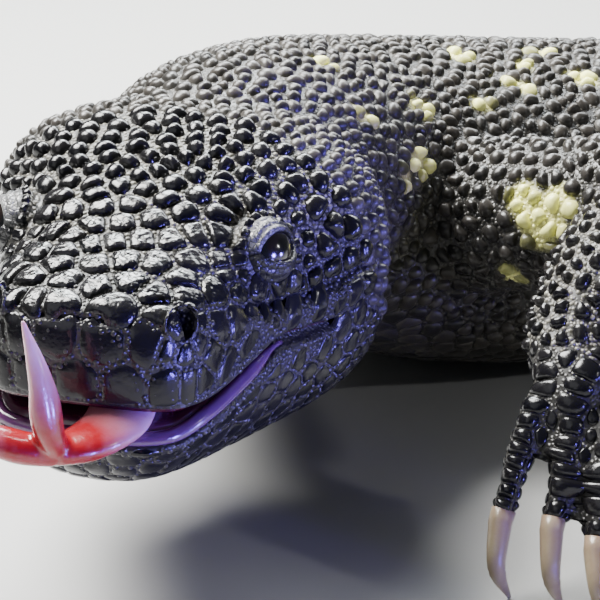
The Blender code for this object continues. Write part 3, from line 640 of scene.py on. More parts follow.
def tube_faces(rows, sides, first=0):
    """Quads of a tube of rings, and the triangles that cap its two ends with one point each."""
    k = np.arange(sides)
    row = np.arange(rows - 1)[:, None] * sides + first
    low, high = first + rows * sides, first + rows * sides + 1
    end = first + (rows - 1) * sides
    root = np.stack([np.full(sides, low), first + (k + 1) % sides, first + k], 1)
    tip = np.stack([np.full(sides, high), end + k, end + (k + 1) % sides], 1)
    return ring_quads(row, row + sides, sides), np.vstack([root, tip])


def with_ends(rings):
    """The rings' points in one list, with the middle of the first and of the last ring after them."""
    return np.vstack([rings.reshape(-1, 3), rings[0].mean(0)[None], rings[-1].mean(0)[None]])


def loft(name, rings):
    """A closed object through a row of rings."""
    rings = np.asarray(rings, float)
    made = mesh_from(name, with_ends(rings), tube_faces(len(rings), rings.shape[1]))
    turn_outwards(made)
    return made


def section(half_width, top, bottom, middle, upper_square, lower_square, sides):
    """One closed outline across a body, as sideways and upward distances."""
    angle = turns(sides)
    power = np.where(np.sin(angle) > 0, 2 / upper_square, 2 / lower_square)
    side = half_width * np.sign(np.cos(angle)) * np.abs(np.cos(angle)) ** power
    height = np.where(np.sin(angle) > 0, top - middle, middle - bottom)
    return side, middle + height * np.sign(np.sin(angle)) * np.abs(np.sin(angle)) ** power


def trunk_rings(start, stop, count, sides=64):
    """Outlines across the trunk and tail."""
    rings = []
    for place in np.linspace(start, stop, count):
        half_width, top, bottom = eased(TRUNK_SECTIONS, place)[0]
        middle = bottom + TRUNK_WIDEST * (top - bottom)
        side, up = section(half_width, top, bottom, middle, *TRUNK_SQUARES, sides)
        rings.append(np.stack([*beside_spine(place, side), up], 1))
    return rings


def head_rings(count=90, sides=96):
    """Outlines across the head, closer together at the snout."""
    rings = []
    for place in HEAD_LENGTH * np.linspace(0.0, 1.0, count) ** 1.5:
        half_width, top, bottom, middle, square = eased(HEAD_SECTIONS, place)[0]
        side, up = section(half_width, top, bottom, middle, square, JAW_SQUARE, sides)
        rings.append(head_points(np.stack([side, np.full(sides, place), up], 1)))
    return rings


def tube_rings(centres, radii, sides, flatness=1.0, upright=(0, 0, 1)):
    """Round or flattened outlines across a path; flatness scales the height of each."""
    centres = np.asarray(centres, float)
    ways = unit(np.gradient(centres, axis=0))
    across = unit(np.cross(np.broadcast_to(upright, ways.shape), ways))
    up = np.cross(ways, across)
    angle = 2 * math.pi * (np.arange(sides) + 0.5) / sides
    radii = np.broadcast_to(radii, len(centres))
    flat = np.broadcast_to(flatness, len(centres))
    side = across[:, None, :] * (radii[:, None] * np.cos(angle))[:, :, None]
    rise = up[:, None, :] * ((radii * flat)[:, None] * np.sin(angle))[:, :, None]
    return centres[:, None, :] + side + rise


def closed_tube(name, centres, radius, sides=12):
    """A ring-shaped tube round a closed path."""
    ways = unit(np.roll(centres, -1, 0) - np.roll(centres, 1, 0))
    out = unit(centres - centres.mean(0))
    up = np.cross(ways, out)
    angle = turns(sides)
    offset = out[:, None] * np.cos(angle)[None, :, None] + up[:, None] * np.sin(angle)[None, :, None]
    points = (centres[:, None] + offset * radius).reshape(-1, 3)
    row = np.arange(len(centres))[:, None]
    made = mesh_from(name, points, [ring_quads(row * sides, (row + 1) % len(centres) * sides, sides)])
    turn_outwards(made)
    return made


def ball(centre, radii, axes, segments=32):
    """An ellipsoid whose own axes are the rows of `axes`."""
    rows = segments // 2
    polar = np.linspace(0.02, math.pi - 0.02, rows)[:, None]
    angle = turns(segments)
    flat = (np.sin(polar) * np.cos(angle), np.sin(polar) * np.sin(angle))
    local = np.stack([*flat, np.broadcast_to(np.cos(polar), (rows, segments))], axis=-1)
    return loft("ball", np.asarray(centre) + (local * radii) @ np.asarray(axes))


def limb_stations(limb, count):
    """Centre line of a limb from its root through the palm, with half widths and half heights."""
    root, bend, wrist, palm = (np.array(p, float) for p in limb["joints"])
    upper, lower = root + (bend - root) * UPPER_STATION, bend + (wrist - bend) * LOWER_STATION
    places = (root, upper, bend, lower, wrist, palm)
    station = travelled(places)
    stations = list(zip(station / station[-1], limb["radii"], limb["heights"]))
    sizes = eased(stations, np.linspace(0, 1, count))
    return along(places, count), sizes[:, 0], sizes[:, 1]


def toe_paths(foot, count):
    """Centre line and claw line of each toe: hanging from a raised hand, flat on the floor elsewhere."""
    palm = np.array(LIMBS[foot["limb"]]["joints"][3], float)
    aim = math.radians(foot["aim"])
    ahead = np.array([math.cos(aim), math.sin(aim), 0.0])
    across = np.array([-math.sin(aim), math.cos(aim), 0.0])
    up = np.array([0.0, 0.0, 1.0])
    paths = []
    for turn, length in foot["toes"]:
        angle = math.radians(foot["aim"] + turn)
        way = np.array([math.cos(angle), math.sin(angle), 0.0])
        side = across * turn * foot["spread"]
        start = palm - ahead * TOE_ROOT + side * ROOT_SPREAD
        knuckle = palm + side + way * TOE_RADIUS
        if foot["raised"]:
            tip = knuckle + way * length * (1 - TOE_DROP * RAISED_BEND) - up * length * TOE_DROP
            claw_tip = tip + (way * RAISED_CLAW[0] + across * RAISED_CLAW[1]) * foot["claw"]
            bow = way * foot["claw"] * RAISED_BOW
        else:
            knuckle[2] = TOE_RADIUS + KNUCKLE_RISE
            tip = knuckle + way * length * TOE_SHARE
            tip[2] = TOE_TIP * TIP_SQUASH
            claw_tip = tip + way * foot["claw"] * TOE_SHARE
            bow = up * CLAW_BOW
        claw_tip[2] = TIP_RADIUS * CLAW_SINK
        toe = along((start, knuckle, (knuckle + tip) / 2 + up * TOE_BOW, tip), count)
        out = unit(toe[-1] - toe[-2])
        base = tip + out * CLAW_BASE
        claw = along((base, (base + claw_tip) / 2 + bow, claw_tip), count)
        paths.append((toe, np.vstack([(tip - out * CLAW_INSET)[None], claw])))
    return paths


def evaluated(thing):
    """A new mesh of an object with its modifiers applied."""
    bpy.context.view_layer.update()
    graph = bpy.context.evaluated_depsgraph_get()
    return bpy.data.meshes.new_from_object(thing.evaluated_get(graph))


def fused(pieces, voxel, rounds):
    """Several overlapping closed pieces as one even skin: points, quads and normals."""
    work = bmesh.new()
    for piece in pieces:
        work.from_mesh(piece.data)
        bpy.data.objects.remove(piece)
    mesh = bpy.data.meshes.new("fused")
    work.to_mesh(mesh)
    work.free()
    thing = linked("fused", mesh)
    remesh = thing.modifiers.new("fuse", "REMESH")
    remesh.mode = "VOXEL"
    remesh.voxel_size = voxel * MM
    soften = thing.modifiers.new("soften", "SMOOTH")
    soften.factor = 0.5
    soften.iterations = rounds
    made = evaluated(thing)
    points, normals = np.empty((2, len(made.vertices) * 3), np.float32)
    made.vertices.foreach_get("co", points)
    made.vertices.foreach_get("normal", normals)
    corners = np.empty(len(made.loops), np.int32)
    made.loops.foreach_get("vertex_index", corners)
    bpy.data.meshes.remove(made)
    bpy.data.objects.remove(thing)
    points, normals = (row.reshape(-1, 3).astype(float) for row in (points, normals))
    return points / MM, corners.reshape(-1, 4), normals


def cut_away(target, cutters):
    """Takes the cutters, as one collection, out of the target."""
    room = bpy.data.collections.new("cutters")
    for thing in cutters:
        room.objects.link(thing)
    cut = target.modifiers.new("cut", "BOOLEAN")
    cut.operation = "DIFFERENCE"
    cut.operand_type = "COLLECTION"
    cut.collection = room
    made = evaluated(target)
    target.modifiers.clear()
    target.data = made
    for thing in cutters:
        bpy.data.objects.remove(thing)
    bpy.data.collections.remove(room)


def lip_height(place):
    """Height of the upper lip's edge at a place."""
    return float(eased(LIP_LINE, place)[0, 0])


def lower_lip_height(place):
    """Height of the lower lip's edge at a place."""
    return lip_height(place) - float(eased(MOUTH_GAPE, place)[0, 0])


def lip_edges(back):
    """Heights of the upper and the lower lip's edge at many places."""
    lips = eased(LIP_LINE, back)[:, 0]
    return lips, lips - eased(MOUTH_GAPE, back)[:, 0]


def mouth_slot():
    """The room between the lips as a plate across the head."""
    backs = np.linspace(-6, SLOT_END, 40)
    lips, low = lip_edges(backs)
    outline = np.concatenate([np.stack([backs, lips], 1), np.stack([backs, low], 1)[::-1]])
    count = len(outline)
    rings = [head_points(np.column_stack([np.full(count, s), outline])) for s in (-SLOT_REACH, SLOT_REACH)]
    k = np.arange(count)
    ends = [k[None], (2 * count - 1 - k)[None]]
    made = mesh_from("slot", np.vstack(rings), [ring_quads(0, count, count), *ends])
    turn_outwards(made)
    return made


def rim_curve(tree, height, count=CURVE_STEPS):
    """World points where the side of the head is at a height over the lip line, right to left."""
    found = []
    for t in np.linspace(-1, 1, count):
        side = 1.0 if t >= 0 else -1.0
        if abs(t) < 0.5:
            angle = t / 0.5 * math.pi / 2
            origin, way = np.array([0, MOUTH_CORE, 0]), np.array([math.sin(angle), -math.cos(angle), 0])
        else:
            back = MOUTH_CORE + (abs(t) - 0.5) / 0.5 * (MOUTH_CORNER - MOUTH_CORE)
            origin, way = np.array([0, back, 0]), np.array([side, 0, 0])
        place = 10.0
        for _ in range(3):
            origin[2] = height(place)
            start, ray = head_points(origin)[0], HEAD_TURN @ way
            hit = tree.ray_cast(Vector(start + ray * FROM_OUTSIDE), Vector(-ray))[0]
            place = head_local(np.array(hit))[0, 1]
        found.append(np.array(hit))
    return np.array(found)


def head_cutters():
    """What is taken out of the head: the mouth, the eye sockets, the nostrils and the ears."""
    cutters = [mouth_slot()]
    for side in BOTH_SIDES:
        cutters.append(ball(placed_at(EYE_PLACE, side), (EYE_RADIUS + 0.15,) * 3, look_axes(side)))
        hole = mirrored(NOSTRIL_PLACE, side)
        path = head_points([hole + mirrored(offset, side) for offset in NOSTRIL_PATH])
        cutters.append(loft("hole", tube_rings(along(path, len(NOSTRIL_RADII)), NOSTRIL_RADII, 18)))
        cutters.append(ball(placed_at(EAR_PLACE, side), EAR_SIZE, HEAD_TURN.T))
    return cutters


def head_rims(skull_tree):
    """Rolled edges of the lips, the eye sockets and the nostrils."""
    upper, lower = (rim_curve(skull_tree, height, 61) for height in (lip_height, lower_lip_height))
    inward = unit(head_points((0, 30, 0))[0] - upper)
    thick = LIP_ROLL * (1 - np.abs(np.linspace(-1, 1, len(upper))) ** 6 * 0.75)
    upper = upper + inward * UPPER_ROLL[0] + HEAD_UP * UPPER_ROLL[1]
    lower = lower + inward * LOWER_ROLL[0] - HEAD_UP * LOWER_ROLL[1]
    rims = [loft("upper_lip", tube_rings(upper, thick, 14))]
    rims.append(loft("lower_lip", tube_rings(lower, thick * 1.1, 14)))
    angle = np.linspace(0, 2 * math.pi, 49)[:-1]
    cosine, sine = np.cos(angle)[:, None], np.sin(angle)[:, None]
    for side in BOTH_SIDES:
        axes = look_axes(side)
        wide, tall, radius = EYE_RIM
        centre = placed_at(EYE_PLACE, side) + axes[2] * 0.8
        rims.append(closed_tube("rim", centre + (cosine * axes[0] * wide + sine * axes[1] * tall), radius))
        way = HEAD_TURN @ unit(mirrored(NOSTRIL_WAY, side))
        first = unit(np.cross(way, HEAD_UP))
        second = np.cross(way, first)
        wide, tall, radius = NOSTRIL_RIM
        circle = placed_at(NOSTRIL_PLACE, side) + cosine * first * wide + sine * second * tall
        rims.append(closed_tube("rim", circle + way * 0.1, radius))
    return rims


def build_head():
    """The head's fine skin with its openings: points, faces, normals, and the plain skull's search tree."""
    skull = loft("skull", head_rings())
    points = [v.co / MM for v in skull.data.vertices]
    skull_tree = BVHTree.FromPolygons(points, [tuple(p.vertices) for p in skull.data.polygons])
    rims = head_rims(skull_tree)
    cut_away(skull, head_cutters())
    neck = loft("neck", trunk_rings(52, 112, 40))
    points, faces, normals = fused([skull, neck] + rims, HEAD_VOXEL, 5)
    return creased(points, normals), faces, normals, skull_tree


def creased(points, normals):
    """The head's skin with the fold under the eye, the shut corner of the mouth and the snout's crease."""
    local = head_local(points)
    side, back, up = np.abs(local[:, 0]), local[:, 1], local[:, 2]
    lateral = rising(side, *CHEEK_START)
    gap = up - eased(LIP_LINE, back)[:, 0]
    shut = lateral * rising(back, SLOT_END - 4, SLOT_END) * (1 - rising(back, MOUTH_CORNER, 45))
    depth = CORNER_DEPTH * shut * np.exp(-((gap / CORNER_WIDTH) ** 2))
    gap = up - eased(FOLD_LINE, back)[:, 0]
    fold = lateral * rising(back, *FOLD_START) * (1 - rising(back, *FOLD_END))
    roll = FOLD_ROLL * np.exp(-(((gap + 2.2) / 1.5) ** 2))
    depth += fold * (FOLD_DEPTH * np.exp(-((gap / FOLD_WIDTH) ** 2)) - roll)
    gap = up - SNOUT_CREASE_HEIGHT + SNOUT_CREASE_BEND * side**2
    rear, cheek = SNOUT_CREASE_ENDS
    ahead = SNOUT_CREASE_DEPTH * (1 - rising(back, *rear)) * (1 - rising(side, *cheek))
    depth += ahead * np.exp(-((gap / SNOUT_CREASE_WIDTH) ** 2))
    return points - normals * depth[:, None]


def build_body():
    """The skin of everything behind the head, toes included."""
    pieces = [loft("trunk", trunk_rings(TRUNK_SECTIONS[0][0], TRUNK_SECTIONS[-1][0], 220))]
    for name, limb in LIMBS.items():
        centres, wide, tall = limb_stations(limb, PATH_STEPS)
        pieces.append(loft(name, tube_rings(centres, wide, 32, tall / wide)))
    for foot in FEET.values():
        for toe, _ in toe_paths(foot, 12):
            radii = np.linspace(TOE_RADIUS, TOE_TIP, len(toe)) * TOE_SHARE
            knuckles = 1 + KNUCKLE_SWELL * np.cos(np.linspace(0, 6 * math.pi, len(toe)))
            pieces.append(loft("toe", tube_rings(toe, radii * knuckles, 16, TOE_SHARE)))
    return fused(pieces, BODY_VOXEL, 7)


def kept(points, faces, normals, keep):
    """The faces whose points are all kept, with the points renumbered."""
    faces = faces[keep[faces].all(axis=1)]
    used = np.unique(faces)
    index = np.full(len(points), -1)
    index[used] = np.arange(len(used))
    return points[used], index[faces], normals[used]


def build_skin():
    """The whole skin, sunk by the beads' depth: its points, faces, normals, regions and search trees."""
    hp, hf, hn, skull_tree = build_head()
    bp, bf, bn = build_body()
    hp, hf, hn = kept(hp, hf, hn, head_local(hp)[:, 1] < HEAD_END + HEAD_OVERLAP)
    side, back, up = head_local(bp).T
    near = (np.abs(side) < HEAD_ROOM[0]) & (back > -HEAD_ROOM[1]) & (np.abs(up) < HEAD_ROOM[2])
    bp, bf, bn = kept(bp, bf, bn, ~(near & (back < HEAD_END - HEAD_OVERLAP)))
    points = np.vstack([hp - hn * SKIN_DEPTH, bp - bn * SKIN_DEPTH])
    points[:, 2] = np.maximum(points[:, 2], LEAST_HEIGHT)
    faces, normals = np.vstack([hf, bf + len(hp)]), np.vstack([hn, bn])
    region, place, core = regions(points)
    return SimpleNamespace(
        points=points, faces=faces, normals=normals, region=region, place=place, core=core,
        area=np.where(np.arange(len(points)) < len(hp), HEAD_VOXEL**2, BODY_VOXEL**2),
        tree=BVHTree.FromPolygons(points.tolist(), faces.tolist()), skull_tree=skull_tree,
    )


class Finder:
    """Nearest-point search over an array of places."""

    def __init__(self, places):
        self.tree = KDTree(len(places))
        for k, p in enumerate(places.tolist()):
            self.tree.insert(p, k)
        self.tree.balance()

    def nearest(self, places):
        """Number of the nearest place to each of `places`."""
        find = self.tree.find
        return np.array([find(p)[1] for p in places.tolist()])

    def several(self, places, count):
        """Numbers of the nearest few, nearest first."""
        find = self.tree.find_n
        return np.array([[hit[1] for hit in find(p, count)] for p in places.tolist()])


def spaced(places, gap):
    """Which places are kept when each must stand clear of those kept before it."""
    tree = Finder(places).tree
    gaps = np.broadcast_to(gap, len(places)).tolist()
    alive = np.ones(len(places), bool)
    held = []
    for k, p in enumerate(places.tolist()):
        if alive[k]:
            held.append(k)
            for _, other, _ in tree.find_range(p, gaps[k]):
                alive[other] = False
    return np.array(held)


def regions(points):
    """Each point's region, how far along it the point lies, and the nearest place on its axis."""
    cores = [(head_points((0, back, 3))[0], HEAD, back) for back in range(0, HEAD_LENGTH, 3)]
    for place in range(HEAD_LENGTH, int(SNOUT_TO_VENT + TAIL_LENGTH), 4):
        half_width, top, bottom = eased(TRUNK_SECTIONS, place)[0]
        for share in (-0.5, 0, 0.5):
            x, y = beside_spine(place, share * half_width)
            cores.append(((x, y, (top + bottom) / 2), TRUNK if place < TAIL_PLACE else TAIL, place))
    for number, limb in enumerate(LIMBS.values(), LEFT_ARM):
        path = limb_stations(limb, CORE_STEPS)[0]
        cores += [(path[k], number, k * 2.0) for k in range(9, CORE_STEPS)]
    for number, foot in enumerate(FEET.values(), LEFT_ARM):
        for toe, _ in toe_paths(foot, 8):
            cores += [(toe[k], number, TOES + k * 3) for k in range(2, 8)]
    centres, labels, places = (np.array(column) for column in zip(*cores))
    index = Finder(centres).nearest(points)
    return labels[index], places[index].astype(float), centres[index]


def bead_pitch(skin):
    """Distance from bead to bead at each point of the skin."""
    _, back, up = head_local(skin.points).T
    head = changing(up, changing(back, *FACE_PITCH), changing(back, *CROWN_PITCH), *CROWN_EDGE)
    head = changing(-up, head, JAW_PITCH, *CHIN_EDGE)
    head = changing(back, head, NECK_PITCH, *NECK_EDGE)
    trunk = changing(skin.place, *BACK_PITCH)
    trunk = changing(-skin.normals[:, 2], trunk, BELLY_PITCH, *PITCH_UNDER)
    tail, limb = changing(skin.place, *TAIL_PITCH), changing(skin.place, *LIMB_PITCH)
    return np.select([skin.region == number for number in (HEAD, TRUNK, TAIL)], [head, trunk, tail], limb)


def relaxed(points, pitch, area, fixed_places, fixed_pitch):
    """Seeds spread over the points so that each has room for its pitch, round seeds that stay."""
    taken = Finder(fixed_places).nearest(points)
    clear = np.linalg.norm(points - fixed_places[taken], axis=1) > FIXED_ROOM * fixed_pitch[taken]
    chance = area * pitch**-2.0 * clear
    free = RANDOM.choice(len(points), int(chance.sum() / FILLING), replace=False, p=chance / chance.sum())
    places = points[free]
    finder = Finder(points)
    weight = area * pitch**-4.0
    for _ in range(RELAXING_ROUNDS):
        every = np.vstack([fixed_places, places])
        owner = Finder(every).nearest(points)
        total = np.maximum(np.bincount(owner, weight, len(every)), 1e-12)
        sums = [np.bincount(owner, weight * points[:, axis], len(every)) for axis in range(3)]
        moved = (np.stack(sums, 1) / total[:, None])[len(fixed_places):]
        alive = np.bincount(owner, minlength=len(every))[len(fixed_places):] > 0
        free = np.unique(finder.nearest(moved[alive]))
        places = points[free]
    return free[spaced(places, SEED_ROOM * pitch[free])]


def point_at(distance, far, points):
    """The place at a distance along a line of points, given how far each of them is."""
    return np.array([np.interp(distance, far, points[:, axis]) for axis in range(3)])


def lip_seeds(skull_tree):
    """Scales in rows along the lips and the snout's edge, and the lips' ones mirrored over their edge."""
    seeds, mirrors = [], []
    edges = [rim_curve(skull_tree, height) for height in (lip_height, lower_lip_height)]
    for number, (height, pitch, widest, first) in enumerate(LIP_ROWS):
        curve = rim_curve(skull_tree, height)
        far = travelled(curve)
        half = far[-1] / 2
        steps = np.arange(first, min(half, widest) / pitch) * pitch
        for at in np.unique(np.concatenate([half - steps, half + steps])):
            seed = point_at(at, far, curve)
            seeds.append((seed, pitch))
            if number < len(edges):
                edge = edges[number][np.linalg.norm(edges[number] - seed, axis=1).argmin()]
                mirrors.append(edge * 2 - seed)
    return seeds, np.array(mirrors)


def face_seeds(skull_tree):
    """Scales over and under the folds, the snout's plates, and rings round the eyes and the nostrils."""
    seeds = []
    for rise, pitch, start, stop in FOLD_ROWS:
        for back in np.arange(start, stop, pitch * 0.97):
            for side in BOTH_SIDES:
                outside = head_points((side * FROM_OUTSIDE, back, eased(FOLD_LINE, back)[0, 0] + rise))[0]
                seeds.append((skull_tree.ray_cast(Vector(outside), Vector(HEAD_LEFT * -side))[0], pitch))
    for across, back in SNOUT_PLATES:
        for side in BOTH_SIDES:
            above = head_points((side * across, back, FROM_OUTSIDE))[0]
            seeds.append((skull_tree.ray_cast(Vector(above), Vector(-HEAD_UP))[0], SNOUT_PLATE_PITCH))
    for side in BOTH_SIDES:
        axes = look_axes(side)
        eye = placed_at(EYE_PLACE, side) + axes[2] * 1.8
        level = HEAD_TURN @ unit(mirrored(NOSTRIL_LEVEL, side))
        rings = [(eye, axes[0], *ring) for ring in EYE_RINGS]
        rings.append((placed_at(NOSTRIL_PLACE, side), level, *NOSTRIL_RING))
        for middle, first, radius, pitch in rings:
            for angle in turns(int(2 * math.pi * radius / pitch)):
                offset = radius * (math.cos(angle) * first + math.sin(angle) * axes[1])
                seeds.append((middle + offset, pitch))
    return seeds


def toe_seeds():
    """Rows of three scales down each toe, the widest on top."""
    seeds = []
    for foot in FEET.values():
        for toe, _ in toe_paths(foot, PATH_STEPS):
            far = travelled(toe)
            for at in np.arange(far[-1] - TOE_FREE, TOE_ROOT, -TOE_ROW):
                middle = point_at(at, far, toe)
                way = unit(middle - toe[max(np.searchsorted(far, at) - 3, 0)])
                across = unit(np.cross((0, 0, 1), way))
                up = np.cross(way, across)
                for turn, pitch in TOE_SCALES:
                    angle = math.radians(turn)
                    outward = math.sin(angle) * across + math.cos(angle) * up
                    seeds.append((middle + TOE_OUT * outward, pitch))
    return seeds


def fixed_seeds(skin):
    """Places and pitches of the scales that stand in rows, set on the skin, and the lips' mirrored ones."""
    lips, mirrors = lip_seeds(skin.skull_tree)
    seeds = lips + face_seeds(skin.skull_tree) + toe_seeds()
    places = np.array([tuple(place) for place, _ in seeds])
    pitches = np.array([pitch for _, pitch in seeds])
    onto = np.array([skin.tree.find_nearest(Vector(place))[0] for place in places])
    near = np.linalg.norm(onto - places, axis=1) < ROW_REACH
    onto, pitches = onto[near], pitches[near]
    apart = spaced(onto, ROW_ROOM * np.minimum(pitches, ROW_MOST))
    return onto[apart], pitches[apart], mirrors


def gaps_to(local, place, side):
    """Distances in the head's axes from a nostril, ear or eye."""
    return np.linalg.norm(local - mirrored(place, side), axis=1)


def in_slot(local, margin, end):
    """Which places lie between the lips or within a margin of them, ahead of an end."""
    side, back, up = local.T
    lips, low = lip_edges(back)
    return (up < lips + margin) & (up > low - margin) & (back < end) & (np.abs(side) < 40)


def painted_hollow_shade(points):
    """Painted shade: 1 inside the nostrils, ears and mouth, where the skin is painted near black, 0 on the
    open skin.
    """
    local = head_local(points)
    value = np.zeros(len(points))
    for side in BOTH_SIDES:
        for place, radius in ((NOSTRIL_PLACE, 2.6), (EAR_PLACE, 2.0)):
            value = np.maximum(value, np.clip((radius - gaps_to(local, place, side)) / 0.5 + 0.5, 0, 1))
    return np.maximum(value, in_slot(local, 0, SLOT_END))


def open_skin(points):
    """Which points of the skin can carry beads: not in the mouth, eye sockets, nostrils or ears."""
    local = head_local(points)
    keep = ~in_slot(local, 0.9, MOUTH_CORNER)
    for side in BOTH_SIDES:
        for place, radius in ((EYE_PLACE, 6.1), (NOSTRIL_PLACE, 3.4), (EAR_PLACE, 2.6)):
            keep &= gaps_to(local, place, side) > radius
    return keep


def far_spots():
    """Small pale spots on the parts the photograph doesn't show, and broken bands round the tail."""
    random = np.random.default_rng(17)
    backs = random.uniform(*BACK_STRETCH, BACK_SPOTS)
    places = [(place, random.uniform(*BACK_TURNS), random.uniform(*BACK_RADII)) for place in backs]
    for band in BAND_PLACES:
        for turn in np.linspace(-BAND_TURN, BAND_TURN, 8):
            if random.random() < BAND_CHANCE:
                places.append((band + random.uniform(-3, 3), turn, random.uniform(*BAND_RADII)))
    found = []
    for place, turn, radius in places:
        half_width, top, bottom = eased(TRUNK_SECTIONS, place)[0]
        height = bottom + (top - bottom) * (SPOT_RISE[0] + SPOT_RISE[1] * math.cos(turn))
        found.append((*beside_spine(place, half_width * math.sin(turn)), height, radius))
    for limb in list(LIMBS.values())[1:]:
        path, wide, _ = limb_stations(limb, CORE_STEPS)
        for k in random.integers(6, 36, LIMB_SPOTS):
            turn = random.uniform(*LIMB_TURNS)
            reach = np.array([math.sin(turn), 0.0, math.cos(turn)]) * wide[k]
            found.append((*(path[k] + reach), random.uniform(*LIMB_RADII)))
    return tuple(found)


ALL_SPOTS = SPOTS + far_spots()


def marked(points, chance):
    """1 inside the pale yellow spots, 0 outside, uneven along their edges."""
    value = np.zeros(len(points))
    for x, y, z, radius in ALL_SPOTS:
        gap = np.linalg.norm(points - np.array([x, y, z]), axis=1)
        value = np.maximum(value, np.clip((radius - gap) / 1.6 + 0.5 + 0.7 * chance, 0, 1))
    return value


def blackness(points, region, place):
    """1 where the animal is glossy black, on its head and hands, to 0 on the grey-brown body."""
    head = np.clip((HEAD_LENGTH - head_local(points)[:, 1]) / 14, 0, 1)
    limb = np.clip((place - 40) / 30, 0, 1)
    return np.select([region == HEAD, region > TAIL], [head, 0.35 + 0.65 * limb], 0.0)


def paleness(points, region, place):
    """How pale the skin between the beads is: dusty on the crown, cream on the arms, dark on the face."""
    _, back, up = head_local(points).T
    crown = np.clip((up - eased(FOLD_LINE, back)[:, 0] - CROWN_RISE) / 8, 0, 1)
    crown = (CROWN_DUST[0] + CROWN_DUST[1] * crown) * np.clip((back - 2.5) / 3, 0, 1)
    limb = np.where(place < TOES, np.clip((place - 20) / 40, *LIMB_CREAM), TOE_GREY)
    return np.select([region == HEAD, region < LEFT_ARM], [crown, np.full(len(points), BODY_GREY)], limb)


def unwrap(points, region, place, core):
    """Where each point lies on the unwrap: round its region's axis, and along it."""
    offset = points - core
    across, _, up = head_local(points).T
    x, y, heading = spine_at(place)
    side = (points[:, 0] - x) * np.cos(heading) + (points[:, 1] - y) * np.sin(heading)
    head, body = np.arctan2(up - 3, across), np.arctan2(points[:, 2] - 28, side)
    limb = np.arctan2(offset[:, 2], offset[:, 0])
    around = np.select([region == HEAD, region < LEFT_ARM], [head, body], limb)
    tiles = np.array(UNWRAP_TILES)[region]
    u = tiles[:, 0] + (around / (2 * math.pi) + 0.5) * tiles[:, 2]
    v = tiles[:, 1] + (place - np.array(UNWRAP_STARTS)[region]) * UNWRAP_SCALE
    return np.stack([u, v], 1)


def set_forms(beads):
    """Gives each bead its height, flatness, groove, lean, plateness and crinkle, by its place."""
    on_head, on_limb, on_toe = beads.region == HEAD, beads.region > TAIL, beads.place >= TOES
    _, back, up = head_local(beads.centres).T
    crown = np.clip((up - eased(FOLD_LINE, back)[:, 0]) / CROWN_RISE, 0, 1)
    rear = changing(back, 0, 1, *REAR_EDGE)
    under = changing(-beads.ways[:, 2], 0, 1, *FORM_UNDER)
    share = blend(changing(back, *JAW_HEIGHT, *SMOOTH_EDGE), blend(*CROWN_HEIGHT, rear), crown)
    share = changing(-up, share, THROAT_HEIGHT, *THROAT_EDGE)
    body = np.where(on_limb & on_toe, TOE_HEIGHT, blend(*BODY_HEIGHT, under))
    plate = np.where(on_head, blend(changing(back, 1, 0, *SMOOTH_EDGE), 1 - rear, crown), under)
    groove = blend(HEAD_GROOVE, blend(*PLATE_GROOVE, crown), plate)
    groove = np.where(on_head, groove, blend(*BODY_GROOVE, plate))
    groove = np.where(on_limb, changing(beads.place, *LIMB_GROOVE), groove)
    beads.height = beads.pitch * np.where(on_head, share, body)
    beads.flatness = blend(*FLATNESS, plate)
    beads.groove = np.where(on_limb & on_toe, TOE_GROOVE, groove)
    beads.lean = blend(LEAN, 0.0, plate)
    beads.plate = plate
    beads.crinkle = np.where(on_head, crown * (1 - rear), 0.0)


def bead_reach(beads, chosen, first, second, ring):
    """How far each bead's rim can reach at each angle: to the middle between it and its neighbours."""
    others = beads.neighbours[chosen]
    gap = beads.around[others] - beads.centres[chosen][:, None]
    flat = unit(np.stack([(gap * first[:, None]).sum(2), (gap * second[:, None]).sum(2)], 2))
    count = len(beads.centres)
    cosine = (beads.ways[np.minimum(others, count - 1)] * beads.ways[chosen][:, None]).sum(2)
    bend = np.where(others < count, np.sqrt(np.clip((1 + cosine) / 2, 0.3, 1)), 1.0)
    own = beads.pitch[chosen][:, None]
    reach = np.linalg.norm(gap, axis=2) * own / (own + beads.around_pitch[others]) / bend
    facing = np.maximum(flat @ ring, 1e-4) / reach[:, :, None]
    corner = blend(ROUND_CORNER, SHARP_CORNER, beads.plate[chosen])[:, None]
    radius = ((facing ** corner[:, :, None]).sum(1)) ** (-1 / corner)
    radius = np.minimum(radius, MOST_REACH * own) - beads.groove[chosen][:, None] / 2
    return np.maximum(radius, LEAST_RADIUS)


